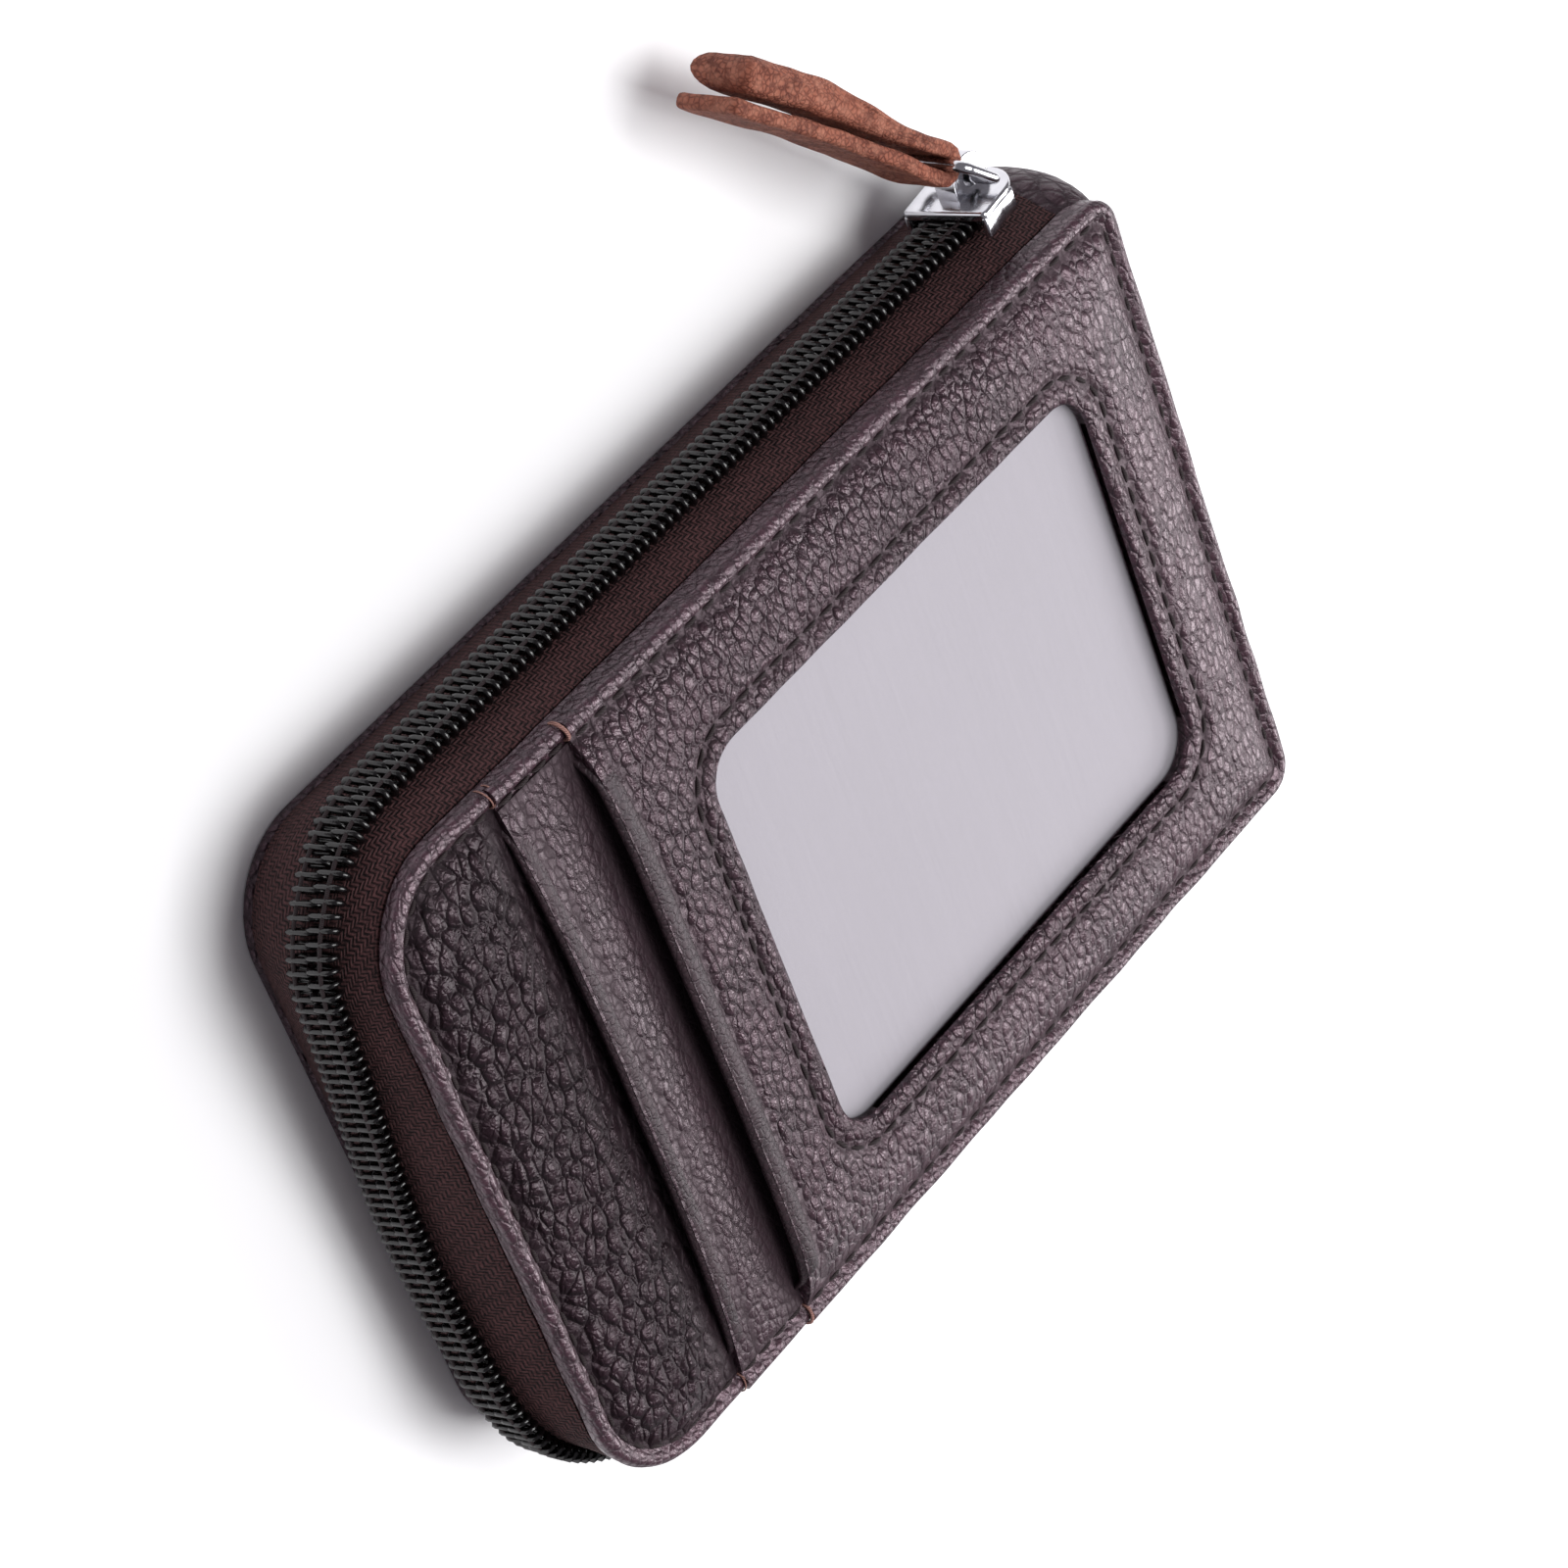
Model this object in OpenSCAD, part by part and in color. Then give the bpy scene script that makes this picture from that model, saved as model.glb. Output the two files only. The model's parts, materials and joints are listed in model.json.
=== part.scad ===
/* [Panels] */
// Length of the front and back panels, from the spine to the far zipped side
panel_l = 108; // [100:1:120]
// Width of the front and back panels
panel_w = 70; // [66:1:80]
// Radius of the two corners away from the spine
corner_r = 10; // [9:0.5:12]
// Radius of the two corners at the spine
spine_corner_r = 3; // [2:0.5:4]
// Thickness of the leather of one panel
leather_t = 1.4; // [1.2:0.1:1.6]
// Clear height between the back leather and the front leather
body_gap = 15; // [14.4:0.2:18]

/* [Front layers] */
// Distance from the far edge to the edge of the middle strip
strip_start = 16.5; // [14:0.5:20]
// Distance from the far edge to the edge of the window panel
window_panel_start = 26; // [24:0.5:30]
// Length of the window opening
window_l = 58; // [50:1:62]
// Width of the window opening
window_w = 44; // [36:1:48]
// Height of the puffed middle of the window panel over its seams
crown_h = 1.3; // [1:0.1:2]

/* [Zip] */
// Outward bulge of the zip tape at the middle of its height
bulge = 2; // [1.5:0.1:2.5]
// Thickness of the zip tape
tape_t = 0.5; // [0.4:0.1:0.6]
// Width of one half of the zip chain
coil_w = 2.5; // [2.2:0.1:2.8]
// Thickness of the zip chain
coil_t = 1.5; // [1.2:0.1:1.8]
// Length of the slider along the chain
slider_l = 8; // [7:0.5:9]
// Width of the slider at its tail
slider_w = 9; // [8.5:0.1:9.5]
// Height of the chain over the middle of the body, toward the front cover
zip_rise = 1.3; // [0:0.1:1.3]

/* [Pull] */
// Length of the leather pull
pull_l = 35; // [30:1:40]
// Width of the leather pull
pull_w = 7; // [6:0.5:8]
// Angle of the pull, away from the straight-out direction and along the chain
pull_lean = 45; // [20:1:50]

/* [Pockets] */
// Length of the card slot inside a pocket leaf
card_l = 87; // [86:0.5:88]
// Width of the card slot inside a pocket leaf
card_w = 55; // [54.5:0.5:56]

/* [Hidden] */
$fn = 48;
eps = 0.01;
half_l = panel_l / 2;
half_w = panel_w / 2;
// Heights of the back cover's layers
board_t = 0.6;
lining_t = 0.5;
flange_t = 0.5;
back_inner_z = leather_t;
back_lining_z = back_inner_z + board_t;
back_top_z = back_lining_z + lining_t;
// Heights of the front cover's layers
front_inner_z = leather_t + body_gap;
front_board_z = front_inner_z - board_t;
front_lining_z = front_board_z - lining_t;
base_t = 1.2;
base_top_z = front_inner_z + base_t;
mid_z = leather_t + body_gap / 2;
// The zip tapes are sewn in this far from the panels' edge
flange_w = 4;
board_inset = flange_w + 0.5;
// Rolled rim of the front panels
bead_w = 3.2;
bead_h = 0.5;
strip_rim_t = 0.8;
strip_lift = 0.2;
strip_t = 1.0;
window_rim_t = 1.3;
strip_x = strip_start - half_l;
window_x = window_panel_start - half_l;
strip_tuck = 6.5;
window_corner_r = 4.5;
crown_inset = 5;
window_center_x = 12;
strip_top_z = base_top_z + strip_lift + strip_t;
window_under_z = strip_top_z + 0.2;
window_top_z = base_top_z + window_rim_t + crown_h;
film_t = 0.18;
film_margin = 4;
insert_t = 0.4;
insert_gap = 0.05;
// Spine
spine_bulge = 2.3;
spine_t = 1.2;
spine_gap = 0.05;
spine_w = panel_w - spine_corner_r;
// Zip
chain_gap = 0.9;
coil_clear = 0.05;
zip_end_x = half_l - 4;
chain_end_x = half_l - 8;
tape_half_h = body_gap / 2;
zip_z = mid_z + zip_rise;
tape_steps = 5;
stop_l = 2.4;
// Slider
slider_x = half_l - 9;
plate_t = 1.0;
outer_plate_y = half_w + bulge + coil_clear + coil_t + 0.35;
inner_plate_y = half_w - 0.3;
inner_plate_w = 6.6;
flange_reach = 1.8;
slider_flange_t = 0.7;
neck_t = 0.5;
neck_l = 2.6;
bridge_l = 5;
bridge_w = 2.4;
bridge_h = 3;
bridge_hole_r = 0.95;
// Loop and pull
wire_r = 0.55;
pin_y = outer_plate_y + plate_t + 1.25;
pin_x = slider_x + 0.4;
link_l = 5.5;
loop_half_w = pull_w / 2 + 1.1;
pull_t = 1.5;
bar_gap = 0.08;
pull_end_t = 3.1;
pull_spread = 2;
leg_gap = 0.35;
// Interior
leaf_n = 6;
leaf_t = 1.3;
leaf_far_gap = 4;
leaf_spine_gap = 3;
leaf_side_gap = 5.5;
leaf_l = panel_l - leaf_far_gap - leaf_spine_gap;
leaf_w = panel_w - 2 * leaf_side_gap;
leaf_spine_x = half_l - leaf_spine_gap;
card_gap = 0.8;
notch_r = 9;
leaf_pitch = (front_lining_z - back_top_z) / (leaf_n + 1);
fold_l = 42;
fold_t = 0.35;
fold_depth = 2.2;
fold_y = half_w - 1.9;
fold_clear = 0.25;
// Seam threads
thread_w = 0.5;
thread_h = 0.25;
seam_in = 1.85;

// Panel outline, moved in by an inset, with rounded far corners and small spine corners
module outline(inset) {
    far_r = corner_r - inset;
    near_r = max(spine_corner_r - inset, 0.6);
    x0 = inset - half_l;
    x1 = half_l - inset;
    y1 = half_w - inset;
    union() {
        translate([x0 + far_r, -y1]) square([x1 - x0 - far_r - near_r, 2 * y1]);
        translate([x0, far_r - y1]) square([far_r + eps, 2 * (y1 - far_r)]);
        translate([x1 - near_r - eps, near_r - y1]) square([near_r + eps, 2 * (y1 - near_r)]);
        for (s = [-1, 1]) {
            translate([x0 + far_r, s * (y1 - far_r)]) circle(r = far_r);
            translate([x1 - near_r, s * (y1 - near_r)]) circle(r = near_r);
        }
    }
}

// Part of the outline between two distances along the length
module outline_between(inset, from_x, to_x) {
    intersection() {
        outline(inset);
        translate([from_x, -half_w]) square([to_x - from_x, panel_w]);
    }
}

// A plate with the panel's outline
module plate(inset, z, t) {
    translate([0, 0, z]) linear_extrude(t) outline(inset);
}

// A straight run along the top edge of a section drawn as (distance outside the edge, height)
module straight_run(from_x, to_x) {
    translate([from_x, half_w, 0]) rotate([90, 0, 90]) linear_extrude(to_x - from_x) children();
}

// The same section swept round the three zipped sides
module zip_sweep(end_x) {
    corner_x = corner_r - half_l;
    corner_y = half_w - corner_r;
    for (s = [0, 1]) {
        mirror([0, s, 0]) {
            straight_run(corner_x, end_x) children();
            translate([corner_x, corner_y, 0]) rotate([0, 0, 90]) rotate_extrude(angle = 90)
                translate([corner_r, 0]) children();
        }
    }
    translate([-half_l, corner_y, 0]) rotate([90, 0, 0]) linear_extrude(2 * corner_y)
        mirror([1, 0]) children();
}

// Outward position of the bowed tape at a height measured from the middle of the body
function bow(h) = bulge * (1 - pow(h / tape_half_h, 2));

// Section of one tape half: a flange sewn under the panel and a bowed wall up to a chain at a height
module tape_section(rise) {
    top_h = rise - chain_gap / 2;
    low_h = -tape_half_h;
    span = top_h - low_h;
    outer = [for (i = [0:tape_steps]) let (h = low_h + span * i / tape_steps) [bow(h), h]];
    inner = [for (i = [tape_steps:-1:1]) let (h = low_h + span * i / tape_steps) [bow(h) - tape_t, h]];
    flange = [[-tape_t, low_h + flange_t], [-flange_w, low_h + flange_t], [-flange_w, low_h]];
    translate([0, mid_z]) polygon(concat(outer, inner, flange));
}

// Section of one chain half: a flat band with rounded edges, below the chain's middle height
module coil_section(rise) {
    r = coil_t / 2;
    x = bulge + coil_clear + r;
    low = mid_z + rise - chain_gap / 2 - coil_w;
    translate([x, low + r]) circle(r = r);
    translate([x, low + coil_w - r]) circle(r = r);
    translate([x - r, low + r]) square([coil_t, coil_w - coil_t]);
}

// Turns a back half into the matching front half
module front_half() {
    translate([0, 2 * mid_z]) mirror([0, 1]) children();
}

module back_panel_leather() {
    color("#3c3032") difference() {
        union() {
            plate(0, bead_h, leather_t - bead_h);
            plate(0.6, 0, leather_t);
        }
        zip_groove();
    }
}

// A shallow groove for the back seam
module zip_groove() {
    zip_sweep(half_l - spine_corner_r)
        translate([-seam_in - thread_w / 2, -eps]) square([thread_w, thread_h + eps]);
}

module back_board() {
    color("#8a7c6a") plate(board_inset, back_inner_z, board_t);
}

module back_lining() {
    color("#2c2422") plate(board_inset, back_lining_z, lining_t);
}

module back_seam_thread() {
    color("#241c1c") zip_sweep(half_l - spine_corner_r)
        translate([-seam_in - thread_w / 2, 0]) square([thread_w, thread_h]);
}

// Bowed strip that joins the two panels along the spine
module spine_strip(depth_in, t, low_z, high_z, w) {
    chord = high_z - low_z;
    r = (pow(chord / 2, 2) + pow(spine_bulge, 2)) / (2 * spine_bulge);
    cx = half_l + spine_bulge - r - depth_in;
    cz = (low_z + high_z) / 2;
    translate([0, w / 2, 0]) rotate([90, 0, 0]) linear_extrude(w) intersection() {
        difference() {
            translate([cx, cz]) circle(r = r, $fn = 96);
            translate([cx, cz]) circle(r = r - t, $fn = 96);
        }
        translate([half_l + spine_gap - depth_in, low_z]) square([r, chord]);
    }
}

module spine_leather() {
    color("#33282a") spine_strip(0, spine_t, 0.4, base_top_z - 0.4, spine_w);
}

module spine_lining() {
    color("#2c2422") translate([half_l - 2.2, -leaf_w / 2, back_top_z + 0.1])
        cube([0.5, leaf_w, front_lining_z - back_top_z - 0.2]);
}

module front_lining() {
    color("#2c2422") plate(board_inset, front_lining_z, lining_t);
}

module front_board() {
    color("#8a7c6a") plate(board_inset, front_board_z, board_t);
}

module base_panel_leather() {
    color("#4a3c3f") plate(0, front_inner_z, base_t);
}

// Rolled rim round the part of the base panel that the upper layers leave bare
module base_rim() {
    color("#4a3c3f") intersection() {
        zip_sweep(half_l) translate([-bead_w, base_top_z]) rim_section(bead_h);
        translate([-panel_l, -panel_w, 0]) cube([panel_l + strip_x - 0.1, 2 * panel_w, 3 * body_gap]);
    }
}

// Section of a rolled rim: an outer ridge and an inner ridge with the seam's groove between them
module rim_section(h) {
    groove_x = bead_w - seam_in;
    difference() {
        polygon([[0, 0], [0.4, h], [bead_w - 0.5, h], [bead_w, h / 2], [bead_w, 0]]);
        translate([groove_x - thread_w / 2, h - thread_h]) square([thread_w, h]);
    }
}

// Rolled rims of a given height along the two long sides
module strip_rims(t, from_x, to_x) {
    for (s = [0, 1]) {
        mirror([0, s, 0]) straight_run(from_x, to_x) translate([-bead_w, base_top_z]) rim_section(t);
    }
}

module slot_strip_leather() {
    rim_w = half_w - bead_w + 0.2;
    tuck_w = half_w - bead_w - 0.3;
    color("#4a3c3f") union() {
        strip_rims(strip_rim_t, strip_x, window_x - 0.1);
        translate([strip_x, -rim_w, base_top_z + strip_lift])
            cube([window_x - strip_x - 0.1, 2 * rim_w, strip_t]);
        translate([strip_x, -tuck_w, base_top_z + strip_lift])
            cube([window_x - strip_x + strip_tuck, 2 * tuck_w, strip_t]);
    }
}

// Puffed panel round the window, closed at the spine and open at its far edge
module window_panel_leather() {
    color("#4a3c3f") difference() {
        hull() {
            linear_extrude_at(base_top_z, window_rim_t) outline_between(0, window_x, half_l);
            linear_extrude_at(base_top_z, window_rim_t + crown_h) outline_between(crown_inset, window_x, half_l);
        }
        translate([window_x - 1, bead_w - half_w, base_top_z - 1])
            cube([half_l - bead_w - window_x + 1, panel_w - 2 * bead_w, window_under_z - base_top_z + 1]);
        linear_extrude_at(base_top_z, 3 * crown_h + window_rim_t) window_outline(0);
        window_groove();
    }
}

// A flat outline made thick at a height
module linear_extrude_at(z, t) {
    translate([0, 0, z]) linear_extrude(t) children();
}

// Rounded window opening, grown by a margin
module window_outline(grow) {
    r = window_corner_r + grow;
    x = window_l / 2 + grow;
    y = window_w / 2 + grow;
    translate([window_center_x, 0]) union() {
        translate([-x, r - y]) square([2 * x, 2 * (y - r)]);
        translate([r - x, -y]) square([2 * (x - r), 2 * y]);
        for (sx = [-1, 1], sy = [-1, 1]) {
            translate([sx * (x - r), sy * (y - r)]) circle(r = r);
        }
    }
}

// Ring between two grown window outlines
module window_ring(inner, outer) {
    difference() {
        window_outline(outer);
        window_outline(inner);
    }
}

module window_groove() {
    linear_extrude_at(window_top_z - thread_h, 1) window_ring(2.2, 2.2 + thread_w);
}

module window_seam_thread() {
    color("#241c1c") linear_extrude_at(window_top_z - thread_h, thread_h) window_ring(2.2, 2.2 + thread_w);
}

module window_film() {
    grow = film_margin;
    color("#c8c4cb", 0.5) linear_extrude_at(window_under_z - film_t - 0.02, film_t) square_window(grow);
}

module window_insert() {
    grow = film_margin - 0.5;
    color("#d8d4da") linear_extrude_at(base_top_z + insert_gap, insert_t) square_window(grow);
}

// Plain rectangle that covers the window opening
module square_window(grow) {
    x = window_l / 2 + grow;
    y = window_w / 2 + grow;
    translate([window_center_x - x, -y]) square([2 * x, 2 * y]);
}

// Thread in a rim groove, between the heights of the groove's floor and mouth
module thread_section(h) {
    translate([-seam_in - thread_w / 2, base_top_z + h - thread_h]) square([thread_w, thread_h]);
}

module rim_seam_thread() {
    color("#241c1c") intersection() {
        zip_sweep(half_l) thread_section(bead_h);
        translate([-panel_l, -panel_w, 0]) cube([panel_l + strip_x - 0.1, 2 * panel_w, 3 * body_gap]);
    }
}

module strip_seam_thread() {
    color("#241c1c") for (s = [0, 1]) {
        mirror([0, s, 0]) straight_run(strip_x, window_x - 0.1) thread_section(strip_rim_t);
    }
}

// Thread that lies along the window panel's seamed long sides
module window_rim_thread() {
    thread_z = base_top_z + window_rim_t + (seam_in + thread_w / 2) * crown_h / crown_inset + 0.01;
    color("#241c1c") for (s = [0, 1]) {
        mirror([0, s, 0]) straight_run(window_x + 1, half_l - spine_corner_r)
            translate([-seam_in - thread_w / 2, thread_z]) square([thread_w, thread_h]);
    }
}

// Loops of thread that lock the end of a slot seam
module slot_tack(side) {
    color("#6a4a4c") for (i = [0:2]) {
        translate([strip_x - 0.9, side * (half_w - 1.0 - 0.8 * i) - 0.25, base_top_z + bead_h])
            cube([0.8, thread_w, thread_h]);
    }
}

module zip_tape_back() {
    color("#3c2a2a") zip_sweep(zip_end_x) tape_section(zip_rise);
}

module zip_tape_front() {
    color("#3c2a2a") zip_sweep(zip_end_x) front_half() tape_section(-zip_rise);
}

module zip_coil_back() {
    color("#151214") zip_sweep(chain_end_x) coil_section(zip_rise);
}

module zip_coil_front() {
    color("#151214") zip_sweep(chain_end_x) front_half() coil_section(-zip_rise);
}

// Metal stop that clasps the chain's closed end at the spine end of the bottom edge
module zip_bottom_stop() {
    y = -half_w - bulge - coil_clear - coil_t;
    color("#b8b8bc") translate([chain_end_x + 0.1, y, zip_z - coil_w]) cube([stop_l, coil_t, 2 * coil_w]);
}

// Outline of a slider plate, wide at the head and narrower at the tail
module slider_outline(w) {
    tail_x = -slider_l / 2;
    head_x = slider_l / 2 - 2.5;
    union() {
        polygon([[tail_x, -w / 2], [head_x, -w / 2], [head_x, w / 2], [tail_x, w / 2]]);
        translate([head_x, 0]) intersection() {
            circle(r = w / 2);
            translate([0, -w]) square([2.5, 2 * w]);
        }
    }
}

// Places a plan drawn along the chain so that its thickness points outward
module on_chain(y) {
    translate([slider_x, y + plate_t, zip_z]) rotate([90, 0, 0]) children();
}

// Two plates joined by a thin neck, with the outer plate's edges turned in
module slider_body() {
    edge_y = outer_plate_y - flange_reach;
    edge_l = slider_l - 2.5;
    color("#c4c4c8") union() {
        on_chain(outer_plate_y) linear_extrude(plate_t) slider_outline(slider_w);
        on_chain(inner_plate_y) linear_extrude(plate_t) slider_outline(inner_plate_w);
        for (s = [-1, 1]) {
            edge_z = zip_z + s * (slider_w - slider_flange_t) / 2 - slider_flange_t / 2;
            translate([slider_x - slider_l / 2, edge_y, edge_z])
                cube([edge_l, flange_reach + plate_t, slider_flange_t]);
        }
        translate([slider_x + slider_l / 2 - neck_l - 0.5, inner_plate_y, zip_z - neck_t / 2])
            cube([neck_l, outer_plate_y - inner_plate_y + plate_t, neck_t]);
    }
}

// Arched lug on the outer plate, with a cross hole for the loop's wire
module slider_bridge() {
    y0 = outer_plate_y + plate_t;
    color("#c4c4c8") difference() {
        translate([pin_x, y0, zip_z - bridge_w / 2]) linear_extrude(bridge_w) union() {
            translate([-bridge_l / 2, 0]) square([bridge_l, bridge_h - bridge_l / 2 + 0.6]);
            translate([0, bridge_h - bridge_l / 2 + 0.6]) circle(r = bridge_l / 2);
        }
        translate([0, y0 - 2 * bridge_l, 0]) cube([panel_l, 2 * bridge_l, panel_w]);
        translate([pin_x, pin_y, 0]) cylinder(h = body_gap * 2, r = bridge_hole_r);
    }
}

// Turns a shape drawn along +X at the origin into the pull's direction at the bridge pin
module along_pull() {
    translate([pin_x, pin_y, zip_z]) rotate([0, 0, 90 + pull_lean]) children();
}

// Rectangular wire loop: one side runs through the bridge, the other carries the leather
module pull_loop() {
    color("#c4c4c8") along_pull() union() {
        for (x = [0, link_l]) {
            translate([x, 0, -loop_half_w]) cylinder(h = 2 * loop_half_w, r = wire_r);
        }
        for (s = [-1, 1]) {
            translate([0, 0, s * loop_half_w]) rotate([0, 90, 0]) cylinder(h = link_l, r = wire_r);
            for (x = [0, link_l]) {
                translate([x, 0, s * loop_half_w]) sphere(r = wire_r);
            }
        }
    }
}

// Leather strip folded round the loop's outer bar, its two legs spreading to the free end
module leather_pull() {
    eye_r = wire_r + bar_gap;
    bend_r = eye_r + pull_t;
    leg = pull_l - bend_r;
    color("#965a46") along_pull() translate([link_l, 0, -pull_w / 2]) linear_extrude(pull_w) union() {
        difference() {
            circle(r = bend_r);
            circle(r = eye_r);
            translate([0, -leg_gap]) square([bend_r + 1, 2 * leg_gap]);
        }
        pull_leg(eye_r, bend_r, leg, pull_t);
        mirror([0, 1]) {
            pull_leg(eye_r, bend_r, leg, pull_end_t);
            translate([leg, (pull_spread + pull_end_t) / 2]) circle(r = pull_end_t / 2);
        }
    }
}

// Outline of one leg: close to the other leg for a third of its length, then spreading to its end thickness
module pull_leg(eye_r, bend_r, leg, end_t) {
    close_l = leg * 0.35;
    end_y = pull_spread / 2;
    polygon([
        [0, eye_r], [close_l, leg_gap], [leg, end_y],
        [leg, end_y + end_t], [close_l, leg_gap + pull_t], [0, bend_r]
    ]);
}

// One pocket leaf: a flat sleeve that is open at its far end, with a thumb notch
module pocket_leaf(i) {
    color("#3a2e2c") translate([leaf_spine_x - leaf_l, -leaf_w / 2, back_top_z + i * leaf_pitch - leaf_t / 2])
        difference() {
            cube([leaf_l, leaf_w, leaf_t]);
            translate([-1, (leaf_w - card_w) / 2, (leaf_t - card_gap) / 2]) cube([card_l + 1, card_w, card_gap]);
            translate([0, leaf_w / 2, (leaf_t + card_gap) / 2 - eps]) cylinder(h = leaf_t, r = notch_r);
        }
}

// Pleated side gusset: a zigzag strip with one fold per pocket leaf
module gusset_fold(side) {
    low = back_top_z + fold_clear;
    high = front_lining_z - fold_clear;
    n = 2 * leaf_n + 2;
    out = [for (i = [0:n]) [(i % 2) * fold_depth, low + (high - low) * i / n]];
    back = [for (i = [n:-1:0]) [(i % 2) * fold_depth + fold_t, low + (high - low) * i / n]];
    color("#2c2422") mirror([0, side < 0 ? 1 : 0, 0])
        translate([leaf_spine_x - fold_l, fold_y - fold_depth - fold_t, 0])
        rotate([90, 0, 90]) linear_extrude(fold_l) polygon(concat(out, back));
}

back_panel_leather();
back_board();
back_lining();
back_seam_thread();
spine_leather();
spine_lining();
front_lining();
front_board();
base_panel_leather();
base_rim();
slot_strip_leather();
window_panel_leather();
window_film();
window_insert();
window_seam_thread();
rim_seam_thread();
strip_seam_thread();
window_rim_thread();
slot_tack(1);  // slot_tack_top
slot_tack(-1);  // slot_tack_bottom
zip_tape_back();
zip_tape_front();
zip_coil_back();
zip_coil_front();
zip_bottom_stop();
slider_body();
slider_bridge();
pull_loop();
leather_pull();
pocket_leaf(1);  // pocket_leaf_1
pocket_leaf(2);  // pocket_leaf_2
pocket_leaf(3);  // pocket_leaf_3
pocket_leaf(4);  // pocket_leaf_4
pocket_leaf(5);  // pocket_leaf_5
pocket_leaf(6);  // pocket_leaf_6
gusset_fold(1);  // gusset_fold_top
gusset_fold(-1);  // gusset_fold_bottom
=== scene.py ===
import json
import math

import bmesh
import bpy
from mathutils import Matrix, Vector, noise


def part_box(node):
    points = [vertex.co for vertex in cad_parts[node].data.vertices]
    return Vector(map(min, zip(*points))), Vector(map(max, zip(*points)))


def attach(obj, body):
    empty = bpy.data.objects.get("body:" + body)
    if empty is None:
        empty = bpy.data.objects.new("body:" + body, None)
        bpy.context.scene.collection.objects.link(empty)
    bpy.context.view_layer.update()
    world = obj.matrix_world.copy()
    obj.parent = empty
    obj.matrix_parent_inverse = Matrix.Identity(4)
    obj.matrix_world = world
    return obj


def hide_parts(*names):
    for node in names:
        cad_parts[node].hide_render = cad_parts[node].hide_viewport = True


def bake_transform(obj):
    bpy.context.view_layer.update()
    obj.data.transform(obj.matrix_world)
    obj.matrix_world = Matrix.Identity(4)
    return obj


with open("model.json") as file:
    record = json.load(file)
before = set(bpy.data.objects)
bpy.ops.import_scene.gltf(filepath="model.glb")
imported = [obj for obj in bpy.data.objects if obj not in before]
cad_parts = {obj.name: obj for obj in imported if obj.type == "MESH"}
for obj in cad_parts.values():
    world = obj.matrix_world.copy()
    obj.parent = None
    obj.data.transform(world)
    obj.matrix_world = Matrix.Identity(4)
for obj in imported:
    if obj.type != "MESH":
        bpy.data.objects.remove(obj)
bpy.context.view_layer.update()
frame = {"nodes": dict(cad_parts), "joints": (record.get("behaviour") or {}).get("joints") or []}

# ---------------------------------------------------------------- sizes, in millimetres
MM = 0.001


def box_mm(node):
    """Lowest and highest corner of a CAD node, in millimetres."""
    low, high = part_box(node)
    return low / MM, high / MM


PANEL_LOW, PANEL_HIGH = box_mm("back_panel_leather")
BASE_LOW, BASE_HIGH = box_mm("base_panel_leather")
STRIP_LOW = box_mm("slot_strip_leather")[0]
WINDOW_LOW = box_mm("window_panel_leather")[0]
FILM_LOW, FILM_HIGH = box_mm("window_film")
TAPE_HIGH = box_mm("zip_tape_back")[1]
COIL_HIGH = box_mm("zip_coil_back")[1]
SLIDER_LOW, SLIDER_HIGH = box_mm("slider_body")

HALF_L = PANEL_HIGH.x
HALF_W = PANEL_HIGH.y
LEATHER = PANEL_HIGH.z
BASE_TOP = BASE_HIGH.z
MID_Z = (LEATHER + BASE_LOW.z) / 2
TAPE_HALF_H = MID_Z - LEATHER
ZIP_Z = (SLIDER_LOW.z + SLIDER_HIGH.z) / 2
STRIP_X = STRIP_LOW.x
WINDOW_X = WINDOW_LOW.x
FAR_R = 10.0
NEAR_R = 3.0
CORNER_X = FAR_R - HALF_L
CORNER_Y = HALF_W - FAR_R
BULGE = TAPE_HIGH.y - HALF_W
TAPE_T = 0.5
COIL_OUT = COIL_HIGH.y - HALF_W
CHAIN_END_X = COIL_HIGH.x
TAPE_END_X = TAPE_HIGH.x

WINDOW_CENTRE_X = (FILM_LOW.x + FILM_HIGH.x) / 2
WINDOW_HALF_L = (FILM_HIGH.x - FILM_LOW.x) / 2 - 4
WINDOW_HALF_W = FILM_HIGH.y - 4
WINDOW_R = 4.5
WINDOW_SEAM = 2.45
WINDOW_TOP = WINDOW_LOW.z + 1.35
SEAM_IN = 1.85
STITCH_PITCH = 2.5
TOOTH_PITCH = 1.15

JOINTS = {joint["name"]: joint for joint in frame["joints"]}
LOOP_PIN = Vector(JOINTS["loop_swing"]["pos_m"]) / MM
PULL_BAR = Vector(JOINTS["pull_swing"]["pos_m"]) / MM


# ---------------------------------------------------------------- modelling tools
def pick(*objects):
    """Makes these the only selected objects, with the first one active."""
    bpy.ops.object.select_all(action="DESELECT")
    for obj in objects:
        obj.select_set(True)
    bpy.context.view_layer.objects.active = objects[0]


def added(name):
    """Names the object that an add operator has just made."""
    obj = bpy.context.active_object
    obj.name = name
    obj.data.name = name
    return obj


def settle(obj):
    """Moves an object's place, turn and scale into its mesh."""
    pick(obj)
    bpy.ops.object.transform_apply(location=True, rotation=True, scale=True)


def block(name, middle, size):
    """A plain block, ready to shape."""
    bpy.ops.mesh.primitive_cube_add(size=1, location=middle)
    obj = added(name)
    obj.scale = size
    settle(obj)
    return obj


def rod(name, vertices, radius, length, middle):
    """A round rod along Y, ready to shape."""
    bpy.ops.mesh.primitive_cylinder_add(
        vertices=vertices, radius=radius, depth=length, location=middle, rotation=(math.pi / 2, 0, 0))
    return added(name)


def apply_modifier(obj, kind, **settings):
    pick(obj)
    modifier = obj.modifiers.new(kind.title(), kind)
    for key, value in settings.items():
        setattr(modifier, key, value)
    bpy.ops.object.modifier_apply(modifier=modifier.name)


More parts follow.
